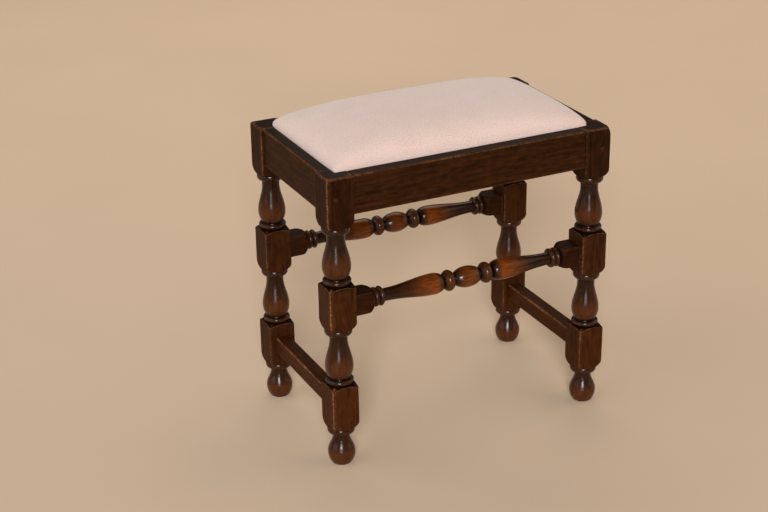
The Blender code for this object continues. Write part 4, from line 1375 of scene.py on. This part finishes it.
class STOOL_OT_dust_cover(bpy.types.Operator):
    """Black cotton lining under the seat, with the tacks that hold it"""

    bl_idname = "stool.dust_cover"
    bl_label = "Dust cover"

    def execute(self, context):
        # Cotton lining: thin, even and black, with a slight sheen
        material = woven_cloth("black_cotton_lining", 0.0012, linear("#121112"), linear("#2b2a2a"), 0.9, 0.15)
        xs = spread(DUST_LOW.x, DUST_HIGH.x, SHEET_CELL)
        ys = spread(DUST_LOW.y, DUST_HIGH.y, SHEET_CELL)

        def height(x, y):
            slack = (1 - (x / DUST_HIGH.x) ** 2) * (1 - (y / DUST_HIGH.y) ** 2)
            return DUST_LOW.z - LINING_SAG * slack

        bm = cloth_grid(xs, ys, height)
        corner = [v for v in bm.verts if abs(v.co.x) > INNER_X and abs(v.co.y) > INNER_Y]
        bmesh.ops.delete(bm, geom=corner, context="VERTS")
        lining = make_object("lining_sheet", bm)
        thicken(lining, SHEET_THICKNESS)
        dress(lining, material, "drop_in_seat", "lining", "dust_cover")
        self.tacks()
        return {"FINISHED"}

    def tacks(self):
        """Cut tacks with flat round heads, along the edge of the lining."""
        reach_x, reach_y = DUST_HIGH.x - TACK_INSET, DUST_HIGH.y - TACK_INSET
        places = []
        for x in spread(-reach_x + TACK_END_GAP_X, reach_x - TACK_END_GAP_X, TACK_SPACING):
            places += [(x, reach_y), (x, -reach_y)]
        for y in spread(-reach_y + TACK_END_GAP_Y, reach_y - TACK_END_GAP_Y, TACK_SPACING):
            places += [(reach_x, y), (-reach_x, y)]
        bm = bmesh.new()
        for i, (x, y) in enumerate(places):
            wander = Vector((noise_at(i, 0.5), noise_at(i, 1.5), 0.0)) * TACK_WANDER
            spot = Matrix.Translation(Vector((x, y, DUST_LOW.z - TACK_HEAD_DROP)) + wander)
            bmesh.ops.create_cone(bm, cap_ends=True, segments=10, matrix=spot, **TACK_HEAD)
        heads = make_object("lining_tacks", bm)
        dress(heads, blued_steel(), "drop_in_seat", "lining")


class STOOL_OT_stage(bpy.types.Operator):
    """Pale floor, soft studio light and the camera"""

    bl_idname = "stool.stage"
    bl_label = "Stage"

    def execute(self, context):
        stage = context.scene.stool_stage
        bm = bmesh.new()
        bmesh.ops.create_grid(bm, x_segments=2, y_segments=2, size=FLOOR_HALF)
        floor = make_object("floor", bm)
        floor.data.materials.append(pale_floor(stage))
        for name, lamp in LAMPS.items():
            self.lamp(name, *lamp)
        self.surroundings(context.scene)
        self.camera(context.scene, stage)
        context.scene.view_settings.view_transform = "Standard"
        return {"FINISHED"}

    def direction(self, azimuth, elevation):
        """From the stool towards a point at this azimuth and elevation, in radians."""
        flat = math.cos(elevation)
        return Vector((math.sin(azimuth) * flat, -math.cos(azimuth) * flat, math.sin(elevation)))

    def lamp(self, name, azimuth, elevation, distance, size, watts, tint, tilt):
        """A soft box that faces the stool, or leans down from it by a tilt in degrees."""
        light = bpy.data.lights.new(name, "AREA")
        light.shape = "RECTANGLE"
        light.size, light.size_y = size
        light.energy = watts
        light.color = linear(tint)
        obj = bpy.data.objects.new(name, light)
        away = self.direction(math.radians(azimuth), math.radians(elevation))
        obj.location = LAMP_AIM + away * distance
        facing = self.direction(math.radians(azimuth), math.radians(elevation + tilt))
        obj.rotation_euler = facing.to_track_quat("Z", "Y").to_euler()
        bpy.context.scene.collection.objects.link(obj)

    def surroundings(self, scene):
        """Even pale light from all round."""
        world = bpy.data.worlds.new("pale_room")
        world.use_nodes = True
        background = world.node_tree.nodes["Background"]
        background.inputs["Color"].default_value = (*linear(ROOM_TINT), 1.0)
        background.inputs["Strength"].default_value = ROOM_STRENGTH
        scene.world = world

    def camera(self, scene, stage):
        """The camera, turned round the stool and rolled about its line of sight."""
        data = bpy.data.cameras.new("camera")
        data.sensor_width = SENSOR_WIDTH
        data.lens = stage.lens
        back = self.direction(stage.azimuth, stage.elevation)
        camera = bpy.data.objects.new("camera", data)
        camera.rotation_mode = "QUATERNION"
        camera.location = Vector(stage.aim) + back * stage.distance
        camera.rotation_quaternion = Quaternion(back, stage.roll) @ (-back).to_track_quat("-Z", "Y")
        scene.collection.objects.link(camera)
        scene.camera = camera


class STOOL_PT_sidebar(bpy.types.Panel):
    """Lists the stool's pieces and their sizes and colours"""

    bl_idname = "STOOL_PT_sidebar"
    bl_label = "Stool"
    bl_space_type = "VIEW_3D"
    bl_region_type = "UI"
    bl_category = "Stool"

    def draw(self, context):
        for group in (context.scene.stool_wood, context.scene.stool_seat, context.scene.stool_stage):
            box = self.layout.box()
            for key in group.__annotations__:
                box.prop(group, key)
        for operator in OPERATORS:
            self.layout.operator(operator.bl_idname)


GROUPS = {"stool_wood": StoolWood, "stool_seat": StoolSeat, "stool_stage": StoolStage}
OPERATORS = (
    STOOL_OT_legs,
    STOOL_OT_rails,
    STOOL_OT_turned_stretchers,
    STOOL_OT_side_stretchers,
    STOOL_OT_pegs,
    STOOL_OT_seat_frame,
    STOOL_OT_webbing,
    STOOL_OT_hessian,
    STOOL_OT_linen_cover,
    STOOL_OT_stuffing,
    STOOL_OT_dust_cover,
    STOOL_OT_stage,
)


def register():
    """Adds the classes and the scene's groups of values."""
    for cls in (*GROUPS.values(), *OPERATORS, STOOL_PT_sidebar):
        bpy.utils.register_class(cls)
    for name, group in GROUPS.items():
        setattr(bpy.types.Scene, name, PointerProperty(type=group))


def unregister():
    """Takes the groups and the classes away again."""
    for name in GROUPS:
        delattr(bpy.types.Scene, name)
    for cls in (STOOL_PT_sidebar, *reversed(OPERATORS), *reversed(GROUPS.values())):
        bpy.utils.unregister_class(cls)


def main():
    """Makes the whole stool."""
    register()
    bpy.ops.stool.legs()
    bpy.ops.stool.rails()
    bpy.ops.stool.turned_stretchers()
    bpy.ops.stool.side_stretchers()
    bpy.ops.stool.pegs()
    bpy.ops.stool.seat_frame()
    bpy.ops.stool.webbing()
    bpy.ops.stool.hessian()
    bpy.ops.stool.linen_cover()
    bpy.ops.stool.stuffing()
    bpy.ops.stool.dust_cover()
    bpy.ops.stool.stage()


if __name__ == "__main__":
    main()
